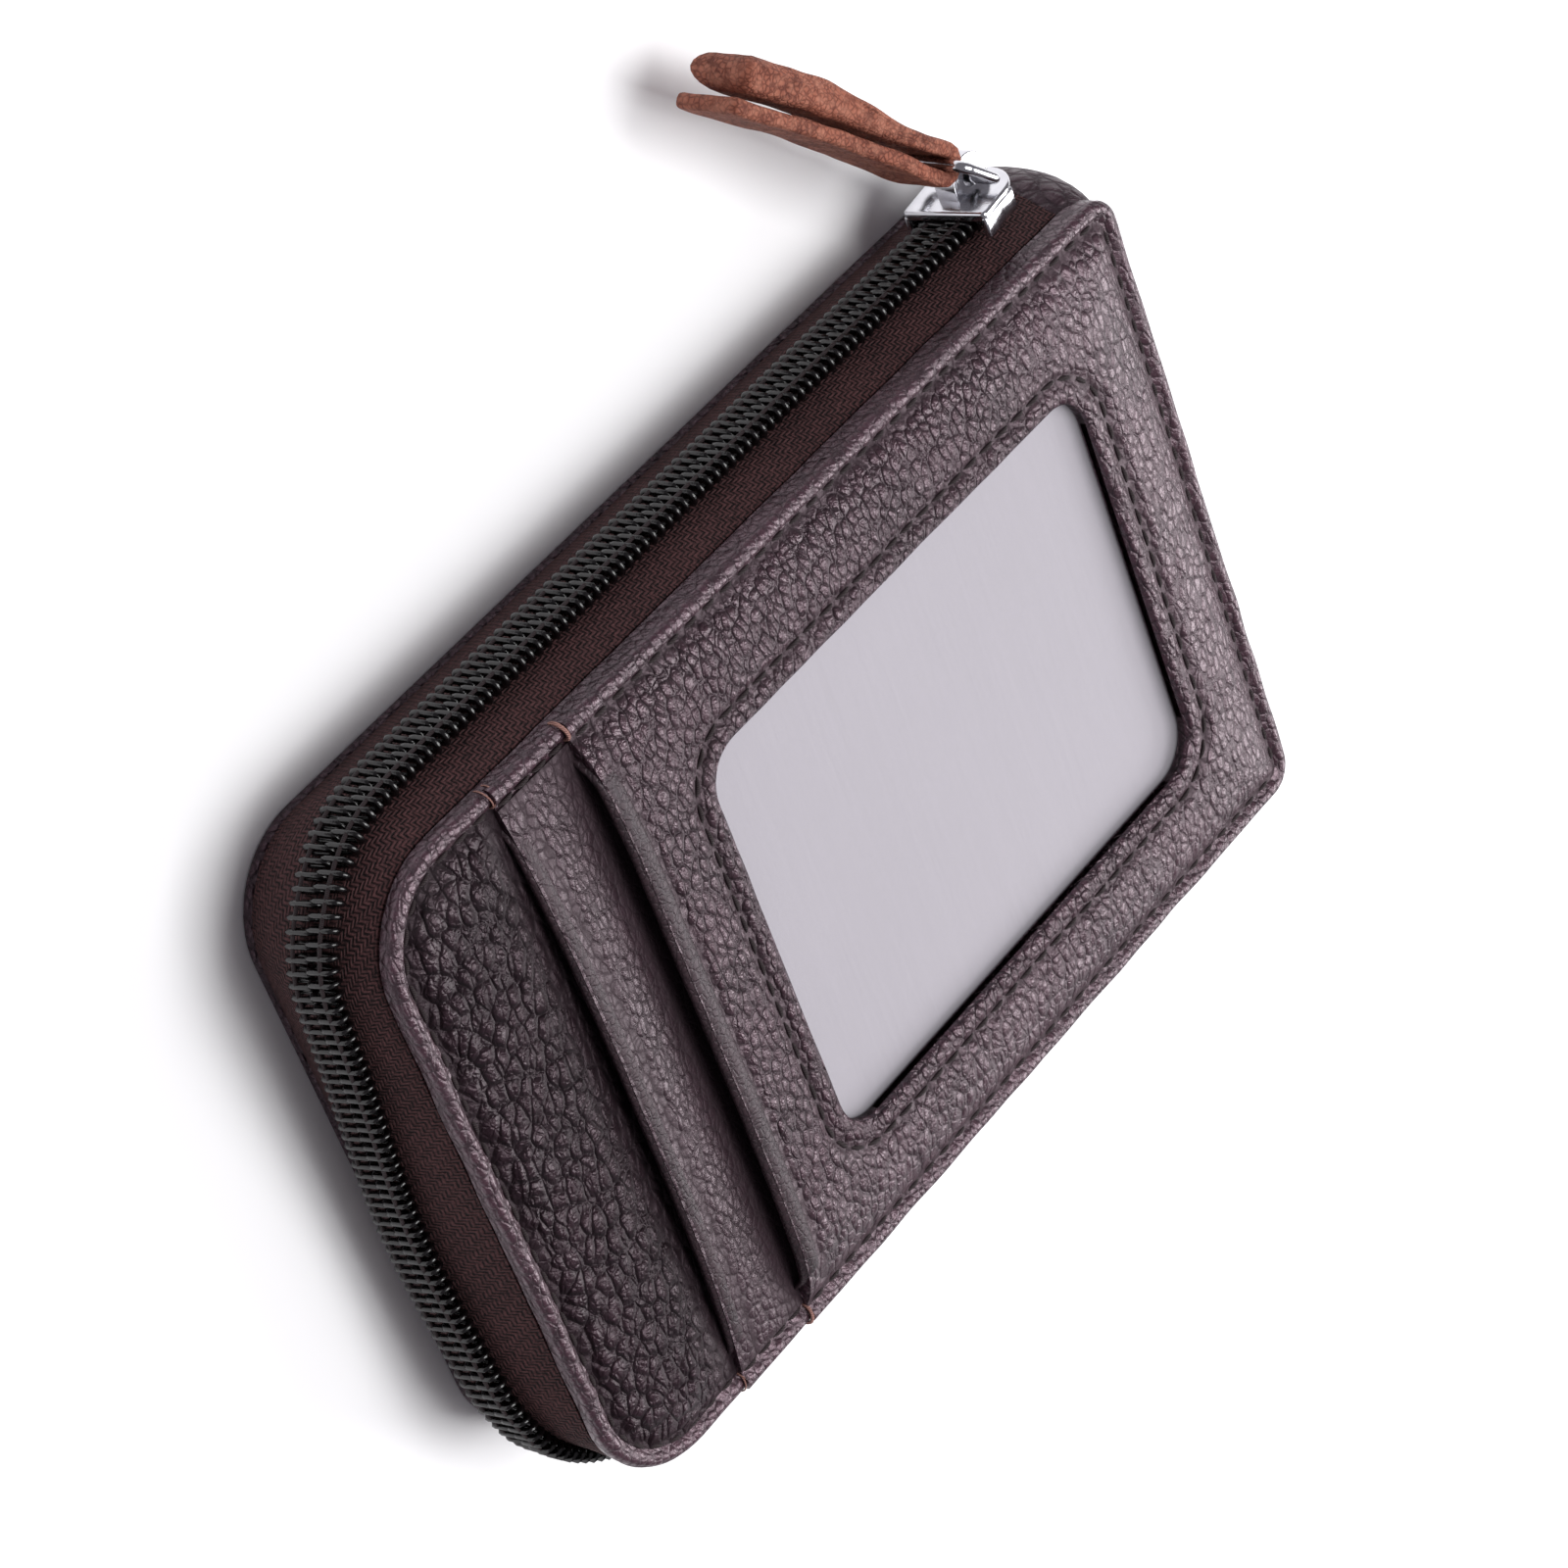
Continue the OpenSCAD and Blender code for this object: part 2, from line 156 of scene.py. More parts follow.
def joined(name, objects):
    """One object from several."""
    pick(*objects)
    if len(objects) > 1:
        bpy.ops.object.join()
    return added(name)


def select_parts(obj, kind, test):
    """Selects the vertices, edges or faces of the object in edit mode whose middle passes the test."""
    bpy.ops.mesh.select_mode(type=kind)
    bpy.ops.mesh.select_all(action="DESELECT")
    mesh = bmesh.from_edit_mesh(obj.data)
    parts = {"VERT": mesh.verts, "EDGE": mesh.edges, "FACE": mesh.faces}[kind]
    for part in parts:
        if kind == "VERT":
            hit = test(part.co)
        elif kind == "EDGE":
            hit = test((part.verts[0].co + part.verts[1].co) / 2, part.verts[0].co - part.verts[1].co)
        else:
            hit = test(part.calc_center_median(), part.normal)
        part.select_set(bool(hit))
    mesh.select_flush_mode()
    bmesh.update_edit_mesh(obj.data)


def divided(obj, cuts, test=None):
    """Cuts the object finer, or only those of its edges that pass the test."""
    pick(obj)
    bpy.ops.object.mode_set(mode="EDIT")
    if test:
        select_parts(obj, "EDGE", test)
    else:
        bpy.ops.mesh.select_all(action="SELECT")
    bpy.ops.mesh.subdivide(number_cuts=cuts)
    bpy.ops.object.mode_set(mode="OBJECT")


def outward(obj):
    """Merges doubles and turns every face outward."""
    pick(obj)
    bpy.ops.object.mode_set(mode="EDIT")
    bpy.ops.mesh.select_all(action="SELECT")
    bpy.ops.mesh.remove_doubles(threshold=0.001)
    bpy.ops.mesh.normals_make_consistent(inside=False)
    bpy.ops.object.mode_set(mode="OBJECT")


def move_points(obj, rule):
    """Moves every vertex to where the rule puts it."""
    for vertex in obj.data.vertices:
        vertex.co = rule(vertex.co.copy())
    obj.data.update()


def puff(obj, height):
    """Raises every vertex by a height that depends on its place in the plan."""
    move_points(obj, lambda p: p + Vector((0, 0, height(p.x, p.y))))


def on_side(obj, side):
    """Mirrors a piece made for the top side to the bottom side, where that is asked for."""
    if side < 0:
        move_points(obj, lambda p: Vector((p.x, -p.y, p.z)))
        outward(obj)
    return obj


def placed(point, angle):
    """Place of a model moved to a point and turned round an upright axis."""
    return Matrix.Translation(point) @ Matrix.Rotation(angle, 4, "Z")


def spread(low, high, steps):
    """Evenly spaced values from low to high."""
    return [low + (high - low) * i / steps for i in range(steps + 1)]


def lay_pattern(obj, rule):
    """Gives the object a UV map named pattern, in millimetres, from a rule on each point."""
    layer = obj.data.uv_layers.new(name="pattern")
    points = [rule(vertex.co) for vertex in obj.data.vertices]
    for loop in obj.data.loops:
        layer.data[loop.index].uv = points[loop.vertex_index]


def mark_folds_and_painted_shade(obj, rule):
    """Marks how deep in a fold, groove or an overlapping layer's shadow each point lies, from 0 to 1. It is
    painted shade that darkens the leather's colour there, and it also flattens the grain and raises the
    roughness.
    """
    layer = obj.data.attributes.new("fold", "FLOAT", "POINT")
    for i, vertex in enumerate(obj.data.vertices):
        layer.data[i].value = rule(vertex.co)


def finish_piece(obj, material, body=None, replaces=(), angle=50):
    """Brings a piece made in millimetres to metres, and gives it its finish and its body."""
    settle(obj)
    obj.data.transform(Matrix.Scale(MM, 4))
    pick(obj)
    bpy.ops.object.shade_smooth_by_angle(angle=math.radians(angle))
    obj.data.materials.clear()
    obj.data.materials.append(material)
    if replaces:
        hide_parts(*replaces)
    if body:
        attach(obj, body)
    return obj


def finish_node(node, material):
    """Gives a CAD node that keeps its shape its material."""
    obj = frame["nodes"][node]
    obj.data.materials.clear()
    obj.data.materials.append(material)


def closed_line(name, points):
    """A closed outline through points, as loose edges."""
    mesh = bpy.data.meshes.new(name)
    count = len(points)
    mesh.from_pydata(points, [(i, (i + 1) % count) for i in range(count)], [])
    obj = bpy.data.objects.new(name, mesh)
    bpy.context.collection.objects.link(obj)
    return obj


def run(step, count):
    """Extrudes the selected section in equal steps."""
    for _ in range(count):
        bpy.ops.mesh.extrude_region_move(TRANSFORM_OT_translate={"value": tuple(step)})


def turn(centre, degrees, count):
    """Turns the selected section round an upright axis, anticlockwise seen from above."""
    bpy.ops.mesh.spin(steps=count, angle=-math.radians(degrees), center=(*centre, 0), axis=(0, 0, 1))


def start_sweep(name, section, x, y=0.0, capped=True):
    """Puts a section of (outward, height) points at a place on the top side, ready to extrude."""
    obj = closed_line(name, [(x, y + out, height) for out, height in section])
    pick(obj)
    bpy.ops.object.mode_set(mode="EDIT")
    bpy.ops.mesh.select_mode(type="VERT")
    bpy.ops.mesh.select_all(action="SELECT")
    if capped:
        bpy.ops.mesh.edge_face_add()
    return obj


def end_sweep(obj):
    bpy.ops.object.mode_set(mode="OBJECT")
    outward(obj)
    return obj


def sweep_zip_sides(name, section, end_x, cell=2.0, corner_steps=12):
    """Sweeps a section round the three zipped sides, from the spine's top end to its bottom end."""
    corner = Vector((CORNER_X, CORNER_Y))
    length = end_x - corner.x
    long_steps = max(2, round(length / cell))
    short_steps = max(2, round(2 * corner.y / cell))
    obj = start_sweep(name, section, end_x, HALF_W)
    run((-length / long_steps, 0, 0), long_steps)
    turn(corner, 90, corner_steps)
    run((0, -2 * corner.y / short_steps, 0), short_steps)
    turn((corner.x, -corner.y), 90, corner_steps)
    run((length / long_steps, 0, 0), long_steps)
    return end_sweep(obj)


def sweep_spine_side(name, section, start_x, radius, cell=2.0):
    """Sweeps a section from the top side round the two spine corners to the bottom side."""
    corner = Vector((HALF_L - radius, HALF_W - radius))
    length = corner.x - start_x
    long_steps = max(1, round(length / cell))
    short_steps = max(2, round(2 * corner.y / cell))
    obj = start_sweep(name, section, start_x, HALF_W)
    run((length / long_steps, 0, 0), long_steps)
    turn(corner, -90, 8)
    run((0, -2 * corner.y / short_steps, 0), short_steps)
    turn((corner.x, -corner.y), -90, 8)
    run((-length / long_steps, 0, 0), long_steps)
    return end_sweep(obj)


def sweep_straight(name, section, x0, x1, side, cell=2.0):
    """Sweeps a section along one long side only."""
    obj = start_sweep(name, section, x0, HALF_W)
    steps = max(2, round((x1 - x0) / cell))
    run(((x1 - x0) / steps, 0, 0), steps)
    return on_side(end_sweep(obj), side)


def rounded_block(name, low, high, far_r, near_r, segments=12):
    """An upright block with its two far corners and two spine-side corners rounded."""
    centre = (Vector(low) + Vector(high)) / 2
    obj = block(name, centre, Vector(high) - Vector(low))
    bpy.ops.object.mode_set(mode="EDIT")
    for radius, side in ((far_r, -1), (near_r, 1)):
        select_parts(
            obj, "EDGE",
            lambda p, d: abs(d.z) > 0.1 and abs(d.x) + abs(d.y) < 0.001
            and (p.x - centre.x) * side > 0 and abs(p.y - centre.y) > (high[1] - low[1]) / 2 - 0.01,
        )
        bpy.ops.mesh.bevel(offset=radius, segments=segments, affect="EDGES")
    bpy.ops.object.mode_set(mode="OBJECT")
    return obj


def cut(obj, cutter, operation):
    """Cuts an object with a cutter, and removes the cutter."""
    apply_modifier(obj, "BOOLEAN", operation=operation, object=cutter, solver="EXACT")
    bpy.data.objects.remove(cutter, do_unlink=True)


def leather_sheet(name, x0, x1, y0, y1, z, thickness, cell):
    """A flat sheet of leather, finely divided, with its top face at a height."""
    nx = round((x1 - x0) / cell)
    ny = round((y1 - y0) / cell)
    middle = ((x0 + x1) / 2, (y0 + y1) / 2, z)
    bpy.ops.mesh.primitive_grid_add(x_subdivisions=nx, y_subdivisions=ny, size=1, location=middle)
    obj = added(name)
    obj.scale = (x1 - x0, y1 - y0, 1)
    settle(obj)
    bpy.ops.object.mode_set(mode="EDIT")
    bpy.ops.mesh.select_all(action="SELECT")
    bpy.ops.mesh.extrude_region_move(TRANSFORM_OT_translate={"value": (0, 0, -thickness)})
    bpy.ops.mesh.select_all(action="SELECT")
    bpy.ops.mesh.normals_make_consistent(inside=False)
    bpy.ops.object.mode_set(mode="OBJECT")
    return obj


def zip_place(s, out):
    """Point and turn at a distance along the zip from its top end, a little outside the panel."""
    r = FAR_R + out
    top = CHAIN_END_X - CORNER_X
    arc = r * math.pi / 2
    if s < top:
        return Vector((CHAIN_END_X - s, HALF_W + out, 0)), 0.0
    if s < top + arc:
        angle = (s - top) / r
        return Vector((CORNER_X - r * math.sin(angle), CORNER_Y + r * math.cos(angle), 0)), angle
    if s < top + arc + 2 * CORNER_Y:
        return Vector((-HALF_L - out, CORNER_Y - (s - top - arc), 0)), math.pi / 2
    if s < top + 2 * arc + 2 * CORNER_Y:
        angle = (s - top - arc - 2 * CORNER_Y) / r + math.pi / 2
        return Vector((CORNER_X - r * math.sin(angle), -CORNER_Y + r * math.cos(angle), 0)), angle
    return Vector((CORNER_X + s - top - 2 * arc - 2 * CORNER_Y, -HALF_W - out, 0)), math.pi


def zip_length(end_x, out):
    """Length of the three zipped sides between the two spine ends, a little outside the panel."""
    return 2 * (end_x + HALF_L - FAR_R) + (FAR_R + out) * math.pi + 2 * (HALF_W - FAR_R)


def along_zip(p):
    """Distance along the three zipped sides, and the height, of any point on the gusset."""
    arc = FAR_R * math.pi / 2
    if p.x >= CORNER_X:
        s = CORNER_X - p.x if p.y > 0 else 2 * arc + 2 * CORNER_Y + p.x - CORNER_X
    elif p.y > CORNER_Y:
        s = FAR_R * math.atan2(CORNER_X - p.x, p.y - CORNER_Y)
    elif p.y > -CORNER_Y:
        s = arc + CORNER_Y - p.y
    else:
        s = arc + 2 * CORNER_Y + FAR_R * math.atan2(-CORNER_Y - p.y, CORNER_X - p.x)
    return s, p.z


def repeat(name, model, places):
    """Copies a small model to many places and joins the copies."""
    copies = []
    for matrix in places:
        copy = model.copy()
        copy.data = model.data.copy()
        copy.data.transform(matrix)
        bpy.context.collection.objects.link(copy)
        copies.append(copy)
    bpy.data.objects.remove(model, do_unlink=True)
    return joined(name, copies)


# ---------------------------------------------------------------- finishes
class Value:
    """A shader socket that takes part in sums."""

    def __init__(self, finish, socket):
        self.finish = finish
        self.socket = socket

    def sum(self, operation, *values):
        return self.finish.node("ShaderNodeMath", {"operation": operation}, dict(enumerate(values)))

    def __add__(self, other):
        return self.sum("ADD", self, other)

    def __radd__(self, other):
        return self.sum("ADD", other, self)

    def __sub__(self, other):
        return self.sum("SUBTRACT", self, other)

    def __rsub__(self, other):
        return self.sum("SUBTRACT", other, self)

    def __mul__(self, other):
        return self.sum("MULTIPLY", self, other)

    def __rmul__(self, other):
        return self.sum("MULTIPLY", other, self)

    def __abs__(self):
        return self.sum("ABSOLUTE", self)

    def sine(self):
        return self.sum("SINE", self)

    def at_most(self, other):
        return self.sum("MINIMUM", self, other)

    def at_least(self, other):
        return self.sum("MAXIMUM", self, other)

    def ramp(self, low, high):
        """0 below low, 1 above high, smooth between."""
        settings = {"interpolation_type": "SMOOTHSTEP"}
        return self.finish.node("ShaderNodeMapRange", settings, {0: self, 1: low, 2: high})


class Finish:
    """One material, with the few calls that its patterns need."""

    def __init__(self, name, **constants):
        self.material = bpy.data.materials.new(name)
        self.material.use_nodes = True
        self.tree = self.material.node_tree
        self.surface = self.tree.nodes["Principled BSDF"]
        for key, value in constants.items():
            self.surface.inputs[key.replace("_", " ")].default_value = value

    def node(self, kind, settings=None, values=None, out=0):
        made = self.tree.nodes.new(kind)
        for key, value in (settings or {}).items():
            setattr(made, key, value)
        for key, value in (values or {}).items():
            if isinstance(value, Value):
                self.tree.links.new(value.socket, made.inputs[key])
            else:
                made.inputs[key].default_value = value
        return Value(self, made.outputs[out])

    def set(self, name, value):
        self.tree.links.new(value.socket, self.surface.inputs[name])

    def place(self, scale=1.0):
        """Position on the object, in millimetres over a scale."""
        point = self.node("ShaderNodeTexCoord", out="Object")
        if not isinstance(scale, tuple):
            scale = (scale, scale, scale)
        factors = tuple(1 / (MM * part) for part in scale)
        return self.node("ShaderNodeVectorMath", {"operation": "MULTIPLY"}, {0: point, 1: factors})

    def axes(self, point):
        """The first two parts of a position."""
        return [self.node("ShaderNodeSeparateXYZ", values={0: point}, out=k) for k in (0, 1)]

    def pattern(self):
        """Position on the piece's own pattern map, in millimetres, as two values."""
        return self.axes(self.node("ShaderNodeUVMap", {"uv_map": "pattern"}))

    def twill(self, x, y, thread, blur):
        """Height of threads that cross, over and under by turns."""
        warp = abs((x * (math.pi / thread)).sine())
        weft = abs((y * (math.pi / thread)).sine())
        over = ((x + y) * (math.pi / (2 * thread))).sine().ramp(-blur, blur)
        return warp * over + weft * (1.0 - over)

    def noise(self, size, detail, roughness=0.55):
        """Cloudy noise with patches of about a size in millimetres."""
        values = {"Vector": self.place(size), "Scale": 1.0, "Detail": detail, "Roughness": roughness}
        return self.node("ShaderNodeTexNoise", values=values)

    def cells(self, place, feature="DISTANCE_TO_EDGE"):
        """Distance within scattered cells, one to a unit of the position."""
        values = {"Vector": place, "Scale": 1.0, "Randomness": 1.0}
        return self.node("ShaderNodeTexVoronoi", {"feature": feature}, values, "Distance")

    def warped(self, size, scale, amount):
        """Position over a size, pushed about by a coarse noise."""
        place = self.place(size)
        push = self.node("ShaderNodeTexNoise", values={"Vector": place, "Scale": scale}, out="Color")
        moved = self.node("ShaderNodeVectorMath", {"operation": "SUBTRACT"}, {0: push, 1: (0.5, 0.5, 0.5)})
        scaled = self.node("ShaderNodeVectorMath", {"operation": "SCALE"}, {0: moved, "Scale": amount})
        return self.node("ShaderNodeVectorMath", {"operation": "ADD"}, {0: place, 1: scaled})

    def mix(self, factor, first, second):
        """A colour between two colours."""
        values = {0: factor, 6: first, 7: second}
        return self.node("ShaderNodeMix", {"data_type": "RGBA"}, values, 2)

    def colour(self, factor, first, second):
        self.set("Base Color", self.mix(factor, first, second))

    def bump(self, height, distance):
        """Feeds a height, in parts of a distance in millimetres, to the surface's normal."""
        values = {"Height": height, "Distance": distance * MM, "Strength": 1.0}
        self.set("Normal", self.node("ShaderNodeBump", values=values))


def rgb(r, g, b):
    """A colour in linear light from 0 to 255 screen values."""
    def linear(part):
        part = part / 255
        return part / 12.92 if part <= 0.04045 else ((part + 0.055) / 1.055) ** 2.4
    return linear(r), linear(g), linear(b), 1.0


def pebbled_leather(name, pebble, depth, dark, light, gloss=0.42, calm=0.2, shine=0.9):
    """Dark grained leather: pebbles with uneven creases, painted lighter on their tops and darker in their
    creases and folds as painted light and shade, and stretched at one corner.
    """
    finish = Finish(name, Specular_IOR_Level=shine, Coat_Roughness=0.35, Specular_Tint=(1.0, 0.78, 0.88, 1.0))
    # fold: painted shade mask laid on the mesh. It darkens the colour in folds, grooves and under overlapping
    # layers, and it also raises roughness and flattens the grain.
    fold = finish.node("ShaderNodeAttribute", {"attribute_name": "fold"}, out=2)
    place = finish.warped((pebble * 0.82, pebble * 1.2, pebble), 0.55, 0.8)
    centre = finish.cells(place, "F1")
    edge = finish.cells(place)
    depths = finish.noise(pebble * 2.6, 2.0)
    crease = edge.ramp(-0.02, 0.2)
    dome = 1.0 - (centre * centre * 1.6).at_most(1.0)
    small = finish.cells(finish.warped(pebble * 0.42, 0.8, 0.7)).ramp(0.0, 0.25)
    fine = finish.noise(0.13, 2.0)
    broad = finish.noise(11.0, 3.0)
    ridges = abs(finish.noise((4.0, 9.0, 5.0), 2.0) - 0.5).ramp(0.0, 0.09)
    x, y = finish.axes(finish.place())
    stretched = x.ramp(22.0, 50.0).at_least((0.0 - y).ramp(18.0, 32.0))
    grain = (1.0 - 0.6 * fold).at_least(0.0) * (1.0 - calm * stretched)
    height = dome * (0.4 + 0.6 * depths) + crease * (0.1 + 0.4 * depths) + small * 0.12 + fine * 0.06
    height = height * grain + ridges * 0.25
    # Painted light and shade: pebble tops (dome) are lighter and creases darker, standing in for light on the
    # relief. Broad noise adds random tone. The fold mask then darkens this as painted shade.
    tone = (crease * 0.15 + dome * 0.3 + small * 0.08 + broad * 0.6 - 0.2).ramp(0.0, 0.9)
    finish.colour(tone * (1.0 - 0.8 * fold), dark, light)
    finish.set("Roughness", gloss + 0.3 * fold + 0.2 * (1.0 - crease) + 0.1 * fine + 0.12 * (broad - 0.5))
    finish.set("Coat Weight", 0.13 * shine * dome)
    finish.bump(height, depth)
    return finish.material


def smooth_leather(name, dark, light):
    """Leather stretched smooth over a turned edge, with faint pores and a soft shine."""
    finish = Finish(name, Specular_IOR_Level=0.5, Specular_Tint=(1.0, 0.86, 0.94, 1.0))
    broad = finish.noise((3.0, 8.0, 3.0), 3.0)
    pores = finish.cells(finish.warped(0.7, 0.8, 0.6)).ramp(0.0, 0.2)
    fine = finish.noise(0.15, 2.0)
    finish.colour((broad * 0.8 + pores * 0.3).ramp(0.2, 0.9), dark, light)
    finish.set("Roughness", 0.4 + 0.12 * fine + 0.1 * broad)
    finish.bump(pores * 0.5 + fine * 0.3 + broad, 0.07)
    return finish.material


def edge_paint(name):
    """Dark paint on the thickness of cut leather, slightly uneven."""
    finish = Finish(name, Specular_IOR_Level=0.5)
    broad = finish.noise(2.0, 3.0)
    fine = finish.noise(0.3, 2.0)
    finish.colour(broad, rgb(28, 20, 20), rgb(58, 44, 44))
    finish.set("Roughness", 0.35 + 0.25 * fine)
    finish.bump(fine + broad, 0.08)
    return finish.material


def woven_tape(name):
    """Brown zip tape: a fine twill of warp and weft threads."""
    finish = Finish(name, Specular_IOR_Level=0.25)
    along, height = finish.pattern()
    weave = finish.twill(along, height, 0.36, 0.25)
    fuzz = finish.noise(0.12, 2.0)
    broad = finish.noise(6.0, 3.0)
    slubs = finish.noise(0.32, 2.0)
    tone = (weave * 0.6 + fuzz * 0.6 + slubs * 1.5 + broad * 0.3 - 1.1).ramp(0.0, 1.0)
    finish.colour(tone, rgb(17, 8, 10), rgb(88, 57, 58))
    finish.set("Roughness", 0.78 + 0.15 * fuzz)
    finish.bump(weave + 0.5 * fuzz + 0.5 * slubs, 0.16)
    return finish.material


def lining_cloth(name, dark, light, thread=0.35):
    """Plain woven lining on flat parts."""
    finish = Finish(name, Specular_IOR_Level=0.25)
    x, y = finish.axes(finish.place(thread))
    weave = finish.twill(x, y, 1.0, 0.3)
    fuzz = finish.noise(0.15, 2.0)
    broad = finish.noise(14.0, 3.0)
    tone = (weave * 0.5 + fuzz * 0.3 + broad * 0.4 - 0.1).ramp(0.0, 1.0)
    finish.colour(tone, dark, light)
    finish.set("Roughness", 0.7 + 0.2 * fuzz)
    finish.bump(weave + 0.3 * fuzz, 0.1)
    return finish.material


def chain_nylon(name):
    """Black glossy nylon of the zip chain."""
    finish = Finish(name, Specular_IOR_Level=0.6)
    rub = finish.noise(3.0, 3.0)
    fine = finish.noise(0.2, 2.0)
    finish.colour(rub, rgb(3, 2, 3), rgb(11, 8, 9))
    finish.set("Roughness", 0.12 + 0.16 * rub)
    finish.bump(fine, 0.02)
    return finish.material


def plated_metal(name):
    """Bright plated metal with faint scratches and dull patches."""
    finish = Finish(name, Metallic=1.0)
    patches = finish.noise(2.2, 4.0)
    scratches = finish.noise((0.12, 2.0, 2.0), 2.0)
    finish.colour(patches, rgb(182, 182, 188), rgb(226, 226, 230))
    finish.set("Roughness", 0.1 + 0.2 * patches * scratches)
    finish.bump(scratches + patches, 0.012)
    return finish.material


def tan_leather(name):
    """Matte rust-brown strap leather with a broken surface and pale rubbed patches."""
    finish = Finish(name, Specular_IOR_Level=0.3)
    broad = finish.noise(3.5, 4.0, 0.6)
    pores = finish.cells(finish.warped(0.55, 1.0, 0.5))
    pore = (pores * 4.0).at_most(1.0)
    fibres = finish.noise(0.1, 3.0, 0.7)
    rub = finish.noise(1.1, 3.0, 0.6).ramp(0.42, 0.7)
    body = finish.mix((broad * 0.7 + pore * 0.3).ramp(0.25, 0.8), rgb(92, 44, 32), rgb(156, 92, 72))
    finish.colour(rub * 0.45, body, rgb(186, 126, 104))
    finish.set("Roughness", 0.62 + 0.25 * fibres)
    finish.bump(pore * 0.6 + fibres * 0.6 + broad, 0.12)
    return finish.material


def sewing_thread(name, dark, light):
    """Twisted thread."""
    finish = Finish(name, Specular_IOR_Level=0.35)
    x, y = finish.axes(finish.place(0.22))
    twist = abs(((x + y) * math.pi).sine())
    fuzz = finish.noise(0.1, 2.0)
    finish.colour((twist * 0.6 + fuzz * 0.5).at_most(1.0), dark, light)
    finish.set("Roughness", 0.55 + 0.25 * fuzz)
    finish.bump(twist + 0.5 * fuzz, 0.05)
    return finish.material


def clear_film(name):
    """Thin clear film, slightly wavy, with hair scratches."""
    finish = Finish(name, Specular_IOR_Level=0.25, IOR=1.45)
    finish.surface.inputs["Base Color"].default_value = rgb(204, 200, 207)
    wave = finish.noise((26.0, 34.0, 26.0), 1.0)
    hairs = finish.noise((0.35, 16.0, 3.0), 2.0)
    finish.set("Alpha", 0.2 + 0.03 * hairs)
    finish.set("Roughness", 0.4 + 0.06 * hairs)
    finish.bump(wave + 0.01 * hairs, 0.05)
    return finish.material


def blank_sheet(name):
    """Pale grey backing sheet with a faint laid texture."""
    finish = Finish(name, Specular_IOR_Level=0.2)
    laid = finish.noise((0.6, 12.0, 4.0), 3.0)
    broad = finish.noise(25.0, 2.0)
    tone = (laid * 0.5 + broad * 0.5).ramp(0.2, 0.8)
    finish.colour(tone, rgb(160, 156, 163), rgb(169, 165, 172))
    finish.set("Roughness", 0.6 + 0.1 * laid)
    finish.bump(laid, 0.03)
    return finish.material


def grey_board(name):
    """Pressed fibre board."""
    finish = Finish(name, Specular_IOR_Level=0.2)
    fibres = finish.noise((0.3, 1.5, 0.3), 4.0, 0.7)
    finish.colour(fibres, rgb(120, 106, 88), rgb(164, 148, 124))
    finish.set("Roughness", 0.8 + 0.15 * fibres)
    finish.bump(fibres, 0.08)
    return finish.material


def table_top(name):
    """Plain pale surface that the pouch lies on."""
    finish = Finish(name, Roughness=0.6, Specular_IOR_Level=0.2)
    faint = finish.noise(60.0, 2.0)
    finish.colour(faint, rgb(246, 245, 247), rgb(250, 250, 251))
    return finish.material


DARK = rgb(20, 8, 13)
LIGHT = rgb(68, 43, 53)
BIG_GRAIN = pebbled_leather("base_leather", 1.75, 0.95, rgb(15, 6, 10), rgb(45, 27, 35), 0.27, shine=0.45)
MID_GRAIN = pebbled_leather("window_leather", 1.15, 0.5, DARK, LIGHT, 0.28, 0.65)
STRIP_GRAIN = pebbled_leather("strip_leather", 1.0, 0.2, DARK, rgb(54, 34, 43), 0.32, shine=0.65)
RIM_GRAIN = pebbled_leather("rim_leather", 1.0, 0.16, DARK, LIGHT, 0.28)
SPINE_GRAIN = pebbled_leather(
    "spine_leather_finish", 1.6, 0.3, rgb(18, 8, 12), rgb(50, 31, 39), 0.38, shine=0.6)
EDGE_LEATHER = smooth_leather("turned_edge_leather", rgb(20, 11, 14), rgb(48, 33, 38))
EDGE = edge_paint("edge_paint")
TAPE = woven_tape("tape_cloth")
CHAIN = chain_nylon("chain_nylon")
METAL = plated_metal("plated_metal")
TAN = tan_leather("strap_leather")
THREAD = sewing_thread("dark_thread", rgb(14, 9, 11), rgb(46, 33, 36))
PALE_THREAD = sewing_thread("pale_thread", rgb(110, 72, 66), rgb(176, 132, 122))
LINING = lining_cloth("lining_cloth", rgb(26, 19, 18), rgb(66, 52, 49))
LEAF_CLOTH = lining_cloth("leaf_cloth", rgb(38, 29, 27), rgb(84, 68, 63), 0.45)


# ---------------------------------------------------------------- shapes of the front
def smooth(low, high, value):
    t = min(max((value - low) / (high - low), 0.0), 1.0)
    return t * t * (3 - 2 * t)


def outline_distance(x, y, half_l, half_w, r):
    """Distance of a point outside a rounded oblong about the origin."""
    qx = abs(x) - (half_l - r)
    qy = abs(y) - (half_w - r)
    return math.hypot(max(qx, 0.0), max(qy, 0.0)) + min(max(qx, qy), 0.0) - r


def seam_distance(x, y, far_r, near_r):
    """Distance of a point in from the panel's edge."""
    return -outline_distance(x, y, HALF_L, HALF_W, far_r if x < 0 else near_r)


def window_distance(x, y):
    """Distance of a point outside the window opening."""
    return outline_distance(x - WINDOW_CENTRE_X, y, WINDOW_HALF_L, WINDOW_HALF_W, WINDOW_R)


def across(y):
    """1 at the middle of the width, 0 at the seams."""
    return max(0.0, 1 - (abs(y) / (HALF_W - 2.2)) ** 3.2)


def rim_fold_painted_shade(p):
    """Painted fold shade where the leather meets the rolled rim."""
    edge = min(seam_distance(p.x, p.y, FAR_R, NEAR_R), HALF_W - abs(p.y))
    return smooth(3.0, 2.0, edge)


